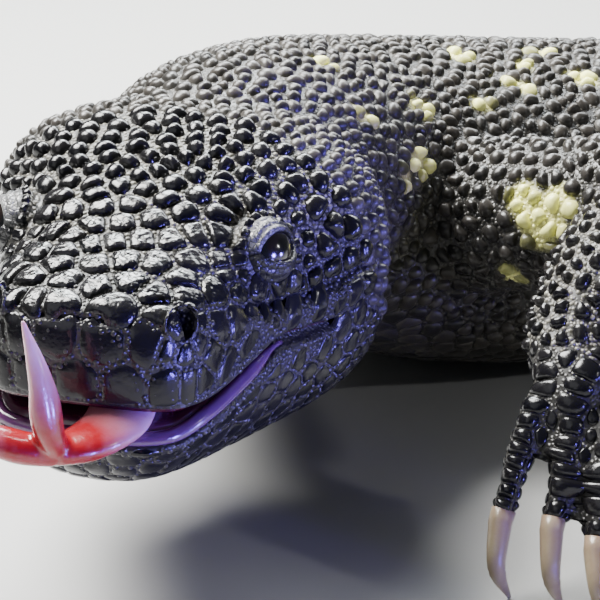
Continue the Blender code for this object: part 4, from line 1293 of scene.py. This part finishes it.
def bead_field(skin, beads, chosen, sides, rings):
    """Points, faces, unwrap places and attributes of the chosen beads' domes."""
    centres, n = beads.centres[chosen], beads.ways[chosen]
    region, place = beads.region[chosen], beads.place[chosen]
    back = np.where((region == HEAD)[:, None], HEAD_BACK, np.array([0.0, 1.0, 0.05]))
    first = unit(back - n * (back * n).sum(1)[:, None])
    second = np.cross(n, first)
    angle = turns(sides)
    ring = np.stack([np.cos(angle), np.sin(angle)])
    radius = bead_reach(beads, chosen, first, second, ring)
    spread = first[:, None] * ring[0][None, :, None] + second[:, None] * ring[1][None, :, None]
    rim = centres[:, None] + spread * radius[:, :, None]
    onto = [skin.tree.find_nearest(p)[0] for p in rim.reshape(-1, 3).tolist()]
    drop = np.array(onto).reshape(rim.shape) - rim
    count = len(chosen)
    random = np.random.default_rng(5)
    tilt = random.uniform(-BEAD_TILT, BEAD_TILT, (count, 2))
    tall = (beads.height[chosen] * random.uniform(*HEIGHT_CHANCE, count))[:, None]
    power = beads.flatness[chosen][:, None]
    layers = []
    for s in (*rings, 0.0):
        dome = (1 - np.minimum(s, 0.999) ** power) ** 0.5
        lift = tall * dome * (1 + s * (tilt @ ring)) - BEAD_SINK * s**8
        shift = (beads.lean[chosen] * beads.pitch[chosen] * (1 - s * s))[:, None, None] * first[:, None]
        layer = centres[:, None] + spread * (radius * s)[:, :, None] + drop * s * s
        layer = layer + n[:, None] * lift[:, :, None] + shift
        layers.append(layer if s > 0 else layer[:, :1])
    points = np.concatenate(layers, axis=1)
    each = points.shape[1]
    points = points.reshape(-1, 3)
    points[:, 2] = np.maximum(points[:, 2], LEAST_HEIGHT)
    row = np.arange(len(rings) - 1)[:, None] * sides
    faces = domes(ring_quads(row, row + sides, sides), fan(row[-1, 0] + sides, each - 1, sides), count, each)
    values = {
        "edge": np.tile(np.concatenate([np.repeat(rings, sides), [0.0]]), count),
        "tone": np.repeat(random.uniform(0, 1, count), each),
        "crinkle": np.repeat(beads.crinkle[chosen], each),
        "mark": np.repeat(marked(centres, random.uniform(-1, 1, count)), each),
        "black": np.repeat(blackness(centres, region, place), each),
    }
    return points, faces, patches(unwrap(centres, region, place, beads.core[chosen]), ring.T, rings), values


def domes(quads, caps, count, each):
    """The faces of one dome, repeated for many of them with the same count of points each."""
    starts = (np.arange(count) * each)[:, None, None]
    return (quads[None] + starts).reshape(-1, 4), (caps[None] + starts).reshape(-1, 3)


def patches(places, ring, rings):
    """A small round patch of the unwrap for each dome, with a place for each of its points."""
    patch = np.concatenate([ring * s for s in rings] + [np.zeros((1, 2))]) * PATCH_RADIUS
    return (places[:, None] + patch[None]).reshape(-1, 2)


def grain_field(centres, normals, radius, random):
    """Low domes, one at each place: points, faces, each one's tone, and one ring."""
    count, sides = len(centres), GRAIN_SIDES
    first = unit(np.cross(normals, (0.3, 0.5, 0.8)))
    second = np.cross(normals, first)
    angle = turns(sides)
    spread = first[:, None] * np.cos(angle)[:, None] + second[:, None] * np.sin(angle)[:, None]
    layers = []
    for s in (*GRAIN_RINGS, 0.0):
        lift = radius * (GRAIN_RISE * (1 - s * s) ** 0.5) - GRAIN_SINK
        layer = centres[:, None] + spread * (radius * s)[:, None, None] + (normals * lift[:, None])[:, None]
        layers.append(layer if s > 0 else layer[:, :1])
    points = np.concatenate(layers, axis=1)
    each = points.shape[1]
    faces = domes(ring_quads(0, sides, sides), fan(sides, each - 1, sides), count, each)
    ring = np.stack([np.cos(angle), np.sin(angle)], 1)
    return points.reshape(-1, 3), faces, random.uniform(0, 1, count), ring


def build_beads(skin):
    """All beads and scales, as joined meshes by region, and the granules between them."""
    pitch = bead_pitch(skin)
    skin.outside = open_skin(skin.points)
    sample = np.where(skin.outside)[0]
    places, pitches, mirrors = fixed_seeds(skin)
    free = sample[relaxed(skin.points[sample], pitch[sample], skin.area[sample], places, pitches)]
    seeds = np.concatenate([sample[Finder(skin.points[sample]).nearest(places)], free])
    beads = SimpleNamespace(
        centres=np.vstack([places, skin.points[free]]), pitch=np.concatenate([pitches, pitch[free]]),
        region=skin.region[seeds], place=skin.place[seeds], core=skin.core[seeds],
    )
    near = Finder(skin.points).several(skin.points[seeds], 14)
    beads.ways = unit(skin.normals[near].sum(1))
    beads.around = np.vstack([beads.centres, mirrors])
    beads.around_pitch = np.concatenate([beads.pitch, np.full(len(mirrors), LIP_PITCH)])
    beads.neighbours = Finder(beads.around).several(beads.centres, NEIGHBOURS + 1)[:, 1:]
    set_forms(beads)
    made, rims, heads = [], [], []
    groups = (
        ("head_beads", beads.region == HEAD, NEAR_SIDES, NEAR_RINGS),
        ("left_arm_beads", beads.region == LEFT_ARM, NEAR_SIDES, NEAR_RINGS),
        ("body_beads", beads.region == TRUNK, FAR_SIDES, FAR_RINGS),
        ("tail_beads", beads.region == TAIL, FAR_SIDES, FAR_RINGS),
        ("limb_beads", beads.region > LEFT_ARM, FAR_SIDES, FAR_RINGS),
    )
    for name, which, sides, rings in groups:
        chosen = np.where(which)[0]
        triangles = len(chosen) * sides * (2 * (len(rings) - 1) + 1)
        order = chosen[np.argsort(beads.place[chosen], kind="stable")]
        parts = np.array_split(order, math.ceil(triangles / MOST_TRIANGLES))
        for number, part in enumerate(parts, 1):
            grid = bead_field(skin, beads, part, sides, rings)
            made.append(dome_object(f"{name}_{number}", *grid))
            if sides == NEAR_SIDES:
                rims.append(grid[0].reshape(len(part), -1, 3)[:, :sides])
                heads.append(beads.centres[part])
    return made + build_grains(skin, np.vstack(rims), np.vstack(heads))


def build_grains(skin, rims, heads):
    """Small granules that fill the grooves between the beads on the head and on the left arm."""
    forearm = (skin.region == LEFT_ARM) & (skin.place > GRAIN_START) & (skin.place < TOES)
    wanted = skin.outside & ((skin.region == HEAD) | forearm)
    chosen = skin.faces[wanted[skin.faces].all(axis=1)]
    corner = skin.points[chosen]
    area = np.linalg.norm(np.cross(corner[:, 2] - corner[:, 0], corner[:, 3] - corner[:, 1]), axis=1) / 2
    pick = RANDOM.choice(len(chosen), int(area.sum() * GRAIN_TRIES), p=area / area.sum())
    s, t = RANDOM.random((2, len(pick), 1))
    a, b, c, d = corner[pick].transpose(1, 0, 2)
    spots = (a * (1 - s) + b * s) * (1 - t) + (d * (1 - s) + c * s) * t
    roots = chosen[pick][:, 0]
    edge = rims.reshape(-1, 3)
    nearest = Finder(edge).nearest(spots)
    own = heads[nearest // rims.shape[1]]
    gap = np.linalg.norm(spots - edge[nearest], axis=1)
    clear = np.linalg.norm(spots - own, axis=1) > np.linalg.norm(edge[nearest] - own, axis=1)
    free = np.where(clear & (gap > GRAIN_ROOM[0]) & (gap < GRAIN_ROOM[1]))[0]
    held = free[spaced(spots[free], GRAIN_GAP)]
    random = np.random.default_rng(7)
    radius = np.clip(gap[held] + GRAIN_OVER, *GRAIN_RADII) * random.uniform(*GRAIN_CHANCE, len(held))
    made = []
    for name, number in (("head_grains", HEAD), ("arm_grains", LEFT_ARM)):
        which = skin.region[roots[held]] == number
        part, root = spots[held[which]], roots[held[which]]
        region, place = skin.region[root], skin.place[root]
        points, faces, tone, ring = grain_field(part, skin.normals[root], radius[which], random)
        each = len(points) // len(part)
        values = {
            "tone": np.repeat(tone, each),
            "pale": np.repeat(paleness(part, region, place), each),
            "mark": np.repeat(marked(part, np.zeros(len(part))), each),
        }
        uv = patches(unwrap(part, region, place, skin.core[root]), ring, GRAIN_RINGS)
        made.append(dome_object(name, points, faces, uv, values))
    return made


def dome_object(name, points, faces, uv, values):
    """One coat piece with its unwrap and its attributes."""
    thing = mesh_from(name, points, faces)
    layer = thing.data.uv_layers.new(name="OFBake")
    corners = np.concatenate([group.ravel() for group in faces])
    layer.data.foreach_set("uv", uv[corners].astype(np.float32).ravel())
    for label, numbers in values.items():
        set_attribute(thing, label, numbers)
    return thing


class Shader:
    """A procedural material built node by node: a method that adds a node gives its output."""

    def __init__(self, name):
        self.material = bpy.data.materials.new(name)
        self.material.use_nodes = True
        self.nodes = self.material.node_tree.nodes

    def feed(self, socket, source):
        """Gives a socket another node's output, a number, a colour or three numbers."""
        if isinstance(source, bpy.types.NodeSocket):
            self.material.node_tree.links.new(source, socket)
        elif isinstance(source, tuple):
            socket.default_value = source + (1.0,) * (len(socket.default_value) - len(source))
        else:
            socket.default_value = source

    def value(self, attribute):
        """A number that the mesh has at each point."""
        node = self.nodes.new("ShaderNodeAttribute")
        node.attribute_name = attribute
        return node.outputs["Fac"]

    def added(self, kind, output, inputs):
        """Adds a node, feeds its inputs and gives one of its outputs."""
        node = self.nodes.new(kind)
        for label, source in inputs.items():
            self.feed(node.inputs[label], source)
        return node.outputs[output]

    def place(self):
        return self.added("ShaderNodeTexCoord", "Object", {})

    def noise(self, scale, detail=3.0):
        inputs = {"Scale": scale, "Detail": detail, "Roughness": 0.55, "Vector": self.place()}
        return self.added("ShaderNodeTexNoise", "Fac", inputs)

    def cells(self, scale, feature="F1"):
        node = self.nodes.new("ShaderNodeTexVoronoi")
        node.feature = feature
        node.inputs["Scale"].default_value = scale
        self.feed(node.inputs["Vector"], self.place())
        return node.outputs["Distance"]

    def mapped(self, source, low, high, out_low=0.0, out_high=1.0):
        inputs = {"Value": source, "From Min": low, "From Max": high, "To Min": out_low, "To Max": out_high}
        return self.added("ShaderNodeMapRange", "Result", inputs)

    def computed(self, operation, a, b):
        node = self.nodes.new("ShaderNodeMath")
        node.operation = operation
        node.use_clamp = operation != "SUBTRACT"
        self.feed(node.inputs[0], a)
        self.feed(node.inputs[1], b)
        return node.outputs[0]

    def product(self, a, b):
        return self.computed("MULTIPLY", a, b)

    def total(self, a, b):
        return self.computed("ADD", a, b)

    def mixed(self, share, a, b):
        """From colour a at share 0 to colour b at share 1."""
        node = self.nodes.new("ShaderNodeMix")
        node.data_type = "RGBA"
        self.feed(node.inputs["Factor"], share)
        self.feed(node.inputs["A"], a)
        self.feed(node.inputs["B"], b)
        return node.outputs["Result"]

    def bumped(self, height, depth, before=None):
        """A way of the surface pressed by a height, with its depth in millimetres."""
        inputs = {"Strength": 1.0, "Distance": depth * MM, "Height": height}
        if before is not None:
            inputs["Normal"] = before
        return self.added("ShaderNodeBump", "Normal", inputs)

    def surface(self, inputs):
        """Feeds the surface and gives the finished material."""
        sockets = self.nodes["Principled BSDF"].inputs
        for label, source in inputs.items():
            self.feed(sockets[label], source)
        return self.material


def bead_material():
    """Glossy black beads on head and hands, duller grey-brown ones on the body, dusty rims, yellow marks."""
    s = Shader("bead")
    tone, black = s.value("tone"), s.value("black")
    grain = s.noise(420.0, 4.0)
    brown = s.mixed(tone, (0.016, 0.015, 0.014), (0.046, 0.041, 0.036))
    glossy = s.mixed(tone, (0.003, 0.003, 0.004), (0.009, 0.0085, 0.009))
    dull = s.computed("SUBTRACT", 1.0, black)
    dust = s.product(s.mapped(s.value("edge"), 0.82, 1.0), s.mapped(grain, 0.35, 0.7))
    film = s.product(dust, s.total(0.12, dull))
    colour = s.mixed(s.product(film, 0.5), s.mixed(black, brown, glossy), (0.16, 0.15, 0.13))
    yellow = s.mixed(grain, (0.95, 0.96, 0.36), (0.80, 0.80, 0.24))
    rough = s.total(s.mapped(grain, 0.25, 0.75, 0.13, 0.26), s.product(dull, 0.14))
    crumple = s.product(s.noise(460.0, 2.0), s.value("crinkle"))
    normal = s.bumped(grain, 0.16, s.bumped(s.noise(2600.0), 0.018))
    return s.surface({
        "Base Color": s.mixed(s.value("mark"), colour, yellow),
        "Roughness": s.total(rough, s.product(film, 0.3)),
        "Specular IOR Level": 0.32,
        "Normal": s.bumped(crumple, 0.55, normal),
    })


def grain_material():
    """Granules: near black on the face, cream on the arm and dusty on the crown."""
    s = Shader("grain")
    tone = s.value("tone")
    dark = s.mixed(tone, (0.004, 0.004, 0.005), (0.018, 0.017, 0.017))
    light = s.mixed(tone, (0.12, 0.115, 0.10), (0.34, 0.325, 0.27))
    share = s.product(s.value("pale"), s.mapped(s.noise(110.0), 0.3, 0.6, 0.5, 1.1))
    return s.surface({
        "Base Color": s.mixed(s.value("mark"), s.mixed(share, dark, light), (0.90, 0.90, 0.34)),
        "Roughness": 0.36,
        "Normal": s.bumped(s.noise(2800.0), 0.05),
    })


def skin_material():
    """Fine-grained skin between the beads, with painted shade: near black in the mouth, the nostrils and the
    ears.
    """
    s = Shader("skin")
    grains, broad = s.cells(1500.0), s.noise(160.0, 4.0)
    dark = s.mixed(broad, (0.003, 0.003, 0.003), (0.011, 0.010, 0.010))
    light = s.mixed(broad, (0.15, 0.14, 0.12), (0.30, 0.28, 0.24))
    colour = s.mixed(s.value("pale"), dark, light)
    colour = s.mixed(s.mapped(grains, 0.25, 0.6), colour, (0.012, 0.011, 0.010))
    colour = s.mixed(s.value("mark"), colour, (0.70, 0.68, 0.26))
    return s.surface({
        # The shade attribute paints shade: near black inside the mouth, the nostrils and the ears
        "Base Color": s.mixed(s.value("shade"), colour, (0.003, 0.003, 0.003)),
        "Roughness": 0.40,
        "Normal": s.bumped(s.mapped(grains, 0.0, 0.6, 1.0, 0.0), 0.22),
    })


def wet_material(name, deep, pale, roughness, glow):
    """Wet flesh: deep where `blush` is 1, pale where it is 0."""
    s = Shader(name)
    share = s.product(s.value("blush"), s.mapped(s.noise(700.0, 4.0), 0.2, 0.8, 0.94, 1.04))
    return s.surface({
        "Base Color": s.mixed(share, pale, deep),
        "Roughness": roughness,
        "Subsurface Weight": glow,
        "Subsurface Radius": (1.0, 0.35, 0.3),
        "Subsurface Scale": 1.5 * MM,
        "Coat Weight": 0.5,
        "Coat Roughness": 0.08,
        "Normal": s.bumped(s.noise(1800.0), 0.06),
    })


def lid_material():
    """Eyelids of small dark scales, grey where `pale` is 1."""
    s = Shader("lid")
    lines, broad = s.cells(1300.0, "DISTANCE_TO_EDGE"), s.noise(600.0)
    dark = s.mixed(broad, (0.004, 0.004, 0.006), (0.014, 0.013, 0.018))
    grey = s.mixed(broad, (0.05, 0.05, 0.055), (0.18, 0.18, 0.18))
    colour = s.mixed(s.value("pale"), dark, grey)
    return s.surface({
        "Base Color": s.mixed(s.mapped(lines, 0.0, 0.10), (0.004, 0.004, 0.005), colour),
        "Roughness": 0.30,
        "Normal": s.bumped(s.mapped(lines, 0.0, 0.16), 0.07),
    })


def eye_material():
    """A dark iris round a black pupil, under a clear wet coat."""
    s = Shader("eye")
    ring, streak = s.value("iris"), s.noise(1500.0, 4.0)
    iris = s.mixed(streak, (0.003, 0.002, 0.002), (0.012, 0.007, 0.005))
    colour = s.mixed(s.mapped(ring, 0.36, 0.42), (0.001, 0.001, 0.001), iris)
    return s.surface({
        "Base Color": s.mixed(s.mapped(ring, 0.78, 0.86), colour, (0.004, 0.004, 0.005)),
        "Roughness": 0.16,
        "Coat Weight": 1.0,
        "Coat Roughness": 0.02,
        "Normal": s.bumped(streak, 0.02),
    })


def claw_material():
    """Tan horn, redder at the root."""
    s = Shader("claw")
    tip, broad = s.value("tip"), s.noise(260.0)
    middle = s.mixed(broad, (0.18, 0.11, 0.07), (0.34, 0.30, 0.19))
    root = s.mixed(broad, (0.18, 0.09, 0.06), (0.34, 0.29, 0.19))
    colour = s.mixed(s.mapped(tip, 0.0, 0.35), root, middle)
    return s.surface({
        "Base Color": s.mixed(s.mapped(tip, 0.85, 1.0), colour, (0.30, 0.26, 0.18)),
        "Roughness": 0.30,
        "Subsurface Weight": 0.04,
        "Subsurface Scale": 0.5 * MM,
        "Normal": s.bumped(s.noise(1500.0, 4.0), 0.05),
    })


def floor_material():
    """Pale matt grey."""
    s = Shader("floor")
    colour = s.mixed(s.noise(3.0, 2.0), (0.40, 0.40, 0.39), (0.43, 0.43, 0.42))
    return s.surface({"Base Color": colour, "Roughness": 0.75})


def side_name(side):
    return "left" if side > 0 else "right"


def build_eye(side):
    """An eyeball with its iris marked by the distance from the pupil's middle."""
    axes = look_axes(side)
    centre = placed_at(EYE_PLACE, side)
    thing = ball(centre, (EYE_RADIUS,) * 3, axes, 64)
    thing.name = side_name(side) + "_eyeball"
    away = np.linalg.norm(unit(mesh_points(thing) - centre) - axes[2], axis=1)
    set_attribute(thing, "iris", away / IRIS_REACH)
    return thing


def build_lid(side, upper):
    """One eyelid: a wrinkled cap of a shell round the eyeball, rolled at its edge."""
    axes = look_axes(side)
    centre = placed_at(EYE_PLACE, side)
    t = np.linspace(0, 1, LID_STEPS)
    rolled = LID_INNER + (LID_OUTER - LID_INNER) * (0.55 + 0.45 * np.clip(t * 7, 0, 1) ** 0.5)
    rings = []
    for sweep in np.linspace(-LID_WIDTH, LID_WIDTH, LID_ROWS):
        closed = np.clip(abs(sweep) / FISSURE_WIDTH, 0, 1)
        edge = LID_OPENINGS[upper] * math.cos(closed * math.pi / 2) ** 0.6
        rise = np.linspace(edge, LID_TOP, LID_STEPS)
        folds = LID_FOLD * np.sin(t * LID_FOLDS + 0.8 * math.sin(sweep * 3)) * np.clip(t * 5, 0, 1) * (1 - t)
        turn = rise if upper else -rise
        shape = np.stack([np.sin(sweep) * np.cos(turn), np.sin(turn), np.cos(sweep) * np.cos(turn)], 1)
        ring = np.vstack([shape * (rolled + folds)[:, None], (shape * (LID_INNER - 0.05))[::-1]])
        rings.append(centre + ring @ axes)
    lid = loft(side_name(side) + ("_upper_lid" if upper else "_lower_lid"), rings)
    _, back, up = (head_local(mesh_points(lid)) * (side, 1, 1) - np.array(EYE_PLACE)).T
    set_attribute(lid, "pale", np.clip((up - 0.6) / 1.6, 0, 1) * np.clip((0.4 - back) / 2.0, 0, 1))
    return lid


def inward_core(rim):
    """For each point of a lip's edge in the head's axes, the mouth's middle beside it."""
    return np.stack([np.zeros(len(rim)), np.maximum(rim[:, 1], MOUTH_CORE), rim[:, 2]], 1)


def mouth_sheet(name, rim, lift, swell, edge_drop, thickness, blush):
    """A wet sheet across the mouth: its rise and swelling are shares of the gape beside it."""
    steps = np.linspace(0, 1, 14)
    core = inward_core(rim)
    inset = rim + unit(core - rim) * MOUTH_INSET
    rings = []
    for start, middle, gape in zip(inset, core, eased(MOUTH_GAPE, inset[:, 1])[:, 0]):
        sheet = start + (middle - start) * steps[:, None]
        crown = sheet + np.array([0, 0, 1.0]) * (gape * lift)
        crown[:, 2] += swell * np.sin(steps * math.pi) * gape * 0.3
        crown[0, 2] -= edge_drop
        rings.append(head_points(np.vstack([crown, (sheet - np.array([0, 0, thickness]))[::-1]])))
    piece = loft(name, rings)
    set_attribute(piece, "blush", np.full(len(piece.data.vertices), blush))
    return piece


def build_mouth(skull_tree):
    """The wet floor and roof of the mouth, set back from the lips, and the gum along the lower lip."""
    lower = head_local(rim_curve(skull_tree, lower_lip_height, 91))
    upper = head_local(rim_curve(skull_tree, lip_height, 91))
    floor = mouth_sheet("mouth_floor", lower, *MOUTH_FLOOR)
    roof = mouth_sheet("mouth_roof", upper, *MOUTH_ROOF)
    rim = head_local(rim_curve(skull_tree, lower_lip_height, 121))
    rim = rim[rim[:, 1] < SLOT_END + 1.0]
    path = rim + unit(inward_core(rim) - rim) * GUM_RADIUS + np.array([0, 0, 0.15])
    taper = np.clip((SLOT_END + 1.5 - rim[:, 1]) / 8.0, 0.35, 1.0)
    gum = loft("lip_margin", tube_rings(head_points(path), GUM_RADIUS * taper, 16))
    set_attribute(gum, "blush", np.full(len(gum.data.vertices), GUM_BLUSH))
    return [floor, roof, gum]


def build_tongue():
    """The wet forked tongue, deep pink at its middle and pale at its tips."""
    share = np.linspace(0, 1, TONGUE_STEPS)
    wide, flat = eased(TONGUE_WIDTHS, share)[:, 0], eased(TONGUE_FLATNESS, share)[:, 0]
    pieces = [loft("stem", tube_rings(along(head_points(TONGUE_STEM), TONGUE_STEPS), wide, 28, flat))]
    for tine in TONGUE_TINES:
        path, radii = along(head_points(tine), TONGUE_STEPS), eased(TINE_RADII, share)[:, 0]
        pieces.append(loft("tine", tube_rings(path, radii, 20, 0.8, TINE_SIDE)))
    points, quads, _ = fused(pieces, TONGUE_VOXEL, 10)
    thing = mesh_from("tongue_flesh", points, [quads])
    gap = np.linalg.norm(head_local(points) - np.array(TONGUE_STEM[-1]), axis=1)
    set_attribute(thing, "blush", np.clip(1.75 - gap / 8.5, 0.0, 1.0))
    return thing


def build_claws(name, foot):
    """The five claws of one foot as one mesh, each marked from root to tip."""
    share = np.linspace(0, 1, CLAW_STEPS)
    radii = eased(CLAW_RADII, share)[:, 0]
    points, quads, caps = [], [], []
    for _, claw in toe_paths(foot, CLAW_STEPS - 1):
        rings = tube_rings(claw, radii * 0.9, CLAW_STEPS, 1.12)
        faces = tube_faces(CLAW_STEPS, CLAW_STEPS, sum(len(p) for p in points))
        points.append(with_ends(rings))
        quads.append(faces[0])
        caps.append(faces[1])
    tips = np.concatenate([np.repeat(share, CLAW_STEPS), [0.0, 1.0]])
    count, points = len(points), np.vstack(points)
    points[:, 2] = np.maximum(points[:, 2], 0.03)
    thing = mesh_from(name, points, [np.vstack(quads), np.vstack(caps)])
    turn_outwards(thing)
    set_attribute(thing, "tip", np.tile(tips, count))
    return thing


def build_floor():
    mesh = bpy.data.meshes.new("floor")
    work = bmesh.new()
    bmesh.ops.create_grid(work, x_segments=2, y_segments=2, size=FLOOR_SIZE)
    work.to_mesh(mesh)
    work.free()
    floor = linked("floor", mesh)
    floor.data.materials.append(floor_material())
    return floor


def build_camera():
    """The camera, turned and raised round the head from straight ahead of it, and rolled."""
    turn, rise, roll = (math.radians(a) for a in (CAMERA_TURN, CAMERA_RISE, CAMERA_ROLL))
    back = np.array([math.sin(turn) * math.cos(rise), -math.cos(turn) * math.cos(rise), math.sin(rise)])
    right = np.array([math.cos(turn), math.sin(turn), 0.0])
    up = np.cross(back, right)
    cosine, sine = math.cos(roll), math.sin(roll)
    leaned = (cosine * right + sine * up, cosine * up - sine * right, back)
    data = bpy.data.cameras.new("camera")
    data.lens = CAMERA_LENS
    data.sensor_width = 36.0
    data.clip_start = 0.01
    camera = linked("camera", data)
    matrix = np.eye(4)
    matrix[:3, :3] = HEAD_TURN @ np.stack(leaned, 1)
    matrix[:3, 3] = head_points(CAMERA_PLACE)[0] * MM
    camera.matrix_world = Matrix(matrix.tolist())
    bpy.context.scene.camera = camera


def stand_lamp(light, place, aim):
    """Stands a lamp at a place in the head's axes and turns it to another."""
    thing = linked(light.name, light)
    start, end = (Vector(head_points(p)[0]) * MM for p in (place, aim))
    thing.location = start
    thing.rotation_euler = (start - end).to_track_quat("Z", "Y").to_euler()


def build_lights():
    """The lamps, the narrow violet ones at the head's left, and a dim sky."""
    for name, (place, aim, size, power, colour) in LAMPS.items():
        light = bpy.data.lights.new(name, "AREA")
        light.shape = "RECTANGLE"
        light.size, light.size_y = size
        light.energy = power
        light.color = colour
        stand_lamp(light, place, aim)
    for name, (place, aim, width, power) in VIOLET_LAMPS.items():
        light = bpy.data.lights.new(name, "SPOT")
        light.energy = power
        light.color = VIOLET
        light.shadow_soft_size = 0.06
        light.spot_size = math.radians(width)
        light.spot_blend = 0.6
        stand_lamp(light, place, aim)
    world = bpy.data.worlds.new("world")
    bpy.context.scene.world = world
    world.use_nodes = True
    background = world.node_tree.nodes["Background"]
    background.inputs["Color"].default_value = SKY
    background.inputs["Strength"].default_value = SKY_STRENGTH


def finish_piece(thing, material, slot, *nodes):
    """Gives a piece its material and says what it rides on and which nodes it replaces; its slot is not
    used.
    """
    thing.data.materials.clear()
    thing.data.materials.append(material)
    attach(thing, "root")
    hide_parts(*nodes)


def main():
    skin = build_skin()
    coat, granules = bead_material(), grain_material()
    pieces = build_beads(skin)
    hide = mesh_from("hide", skin.points, [skin.faces])
    set_attribute(hide, "pale", paleness(skin.points, skin.region, skin.place))
    # Painted shade for the hide: 1 inside the nostrils, ears and mouth
    set_attribute(hide, "shade", painted_hollow_shade(skin.points))
    set_attribute(hide, "mark", marked(skin.points, np.zeros(len(skin.points))))
    flesh = [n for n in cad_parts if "claw" not in n and "eye" not in n and n != "tongue"]
    finish_piece(hide, skin_material(), "skin", *flesh)
    for piece in pieces:
        material = granules if piece.name.endswith("grains") else coat
        finish_piece(piece, material, "face" if piece.name.startswith("head") else "skin", *flesh)
    eyes, lids = eye_material(), lid_material()
    for side in BOTH_SIDES:
        finish_piece(build_eye(side), eyes, "eye", side_name(side) + "_eye")
        for upper in (True, False):
            finish_piece(build_lid(side, upper), lids, "face", "head")
    inside = wet_material("mouth", *MOUTH_FLESH)
    for piece in build_mouth(skin.skull_tree):
        finish_piece(piece, inside, "tongue", "head", "lower_jaw")
    tongue = wet_material("tongue_flesh", *TONGUE_FLESH)
    finish_piece(build_tongue(), tongue, "tongue", "tongue")
    horn = claw_material()
    for name, foot in FEET.items():
        nodes = [f"{name}_claw_{k}" for k in range(1, 6)]
        finish_piece(build_claws(f"{name}_claws", foot), horn, "claw", *nodes)
    build_floor()
    build_camera()
    build_lights()


main()
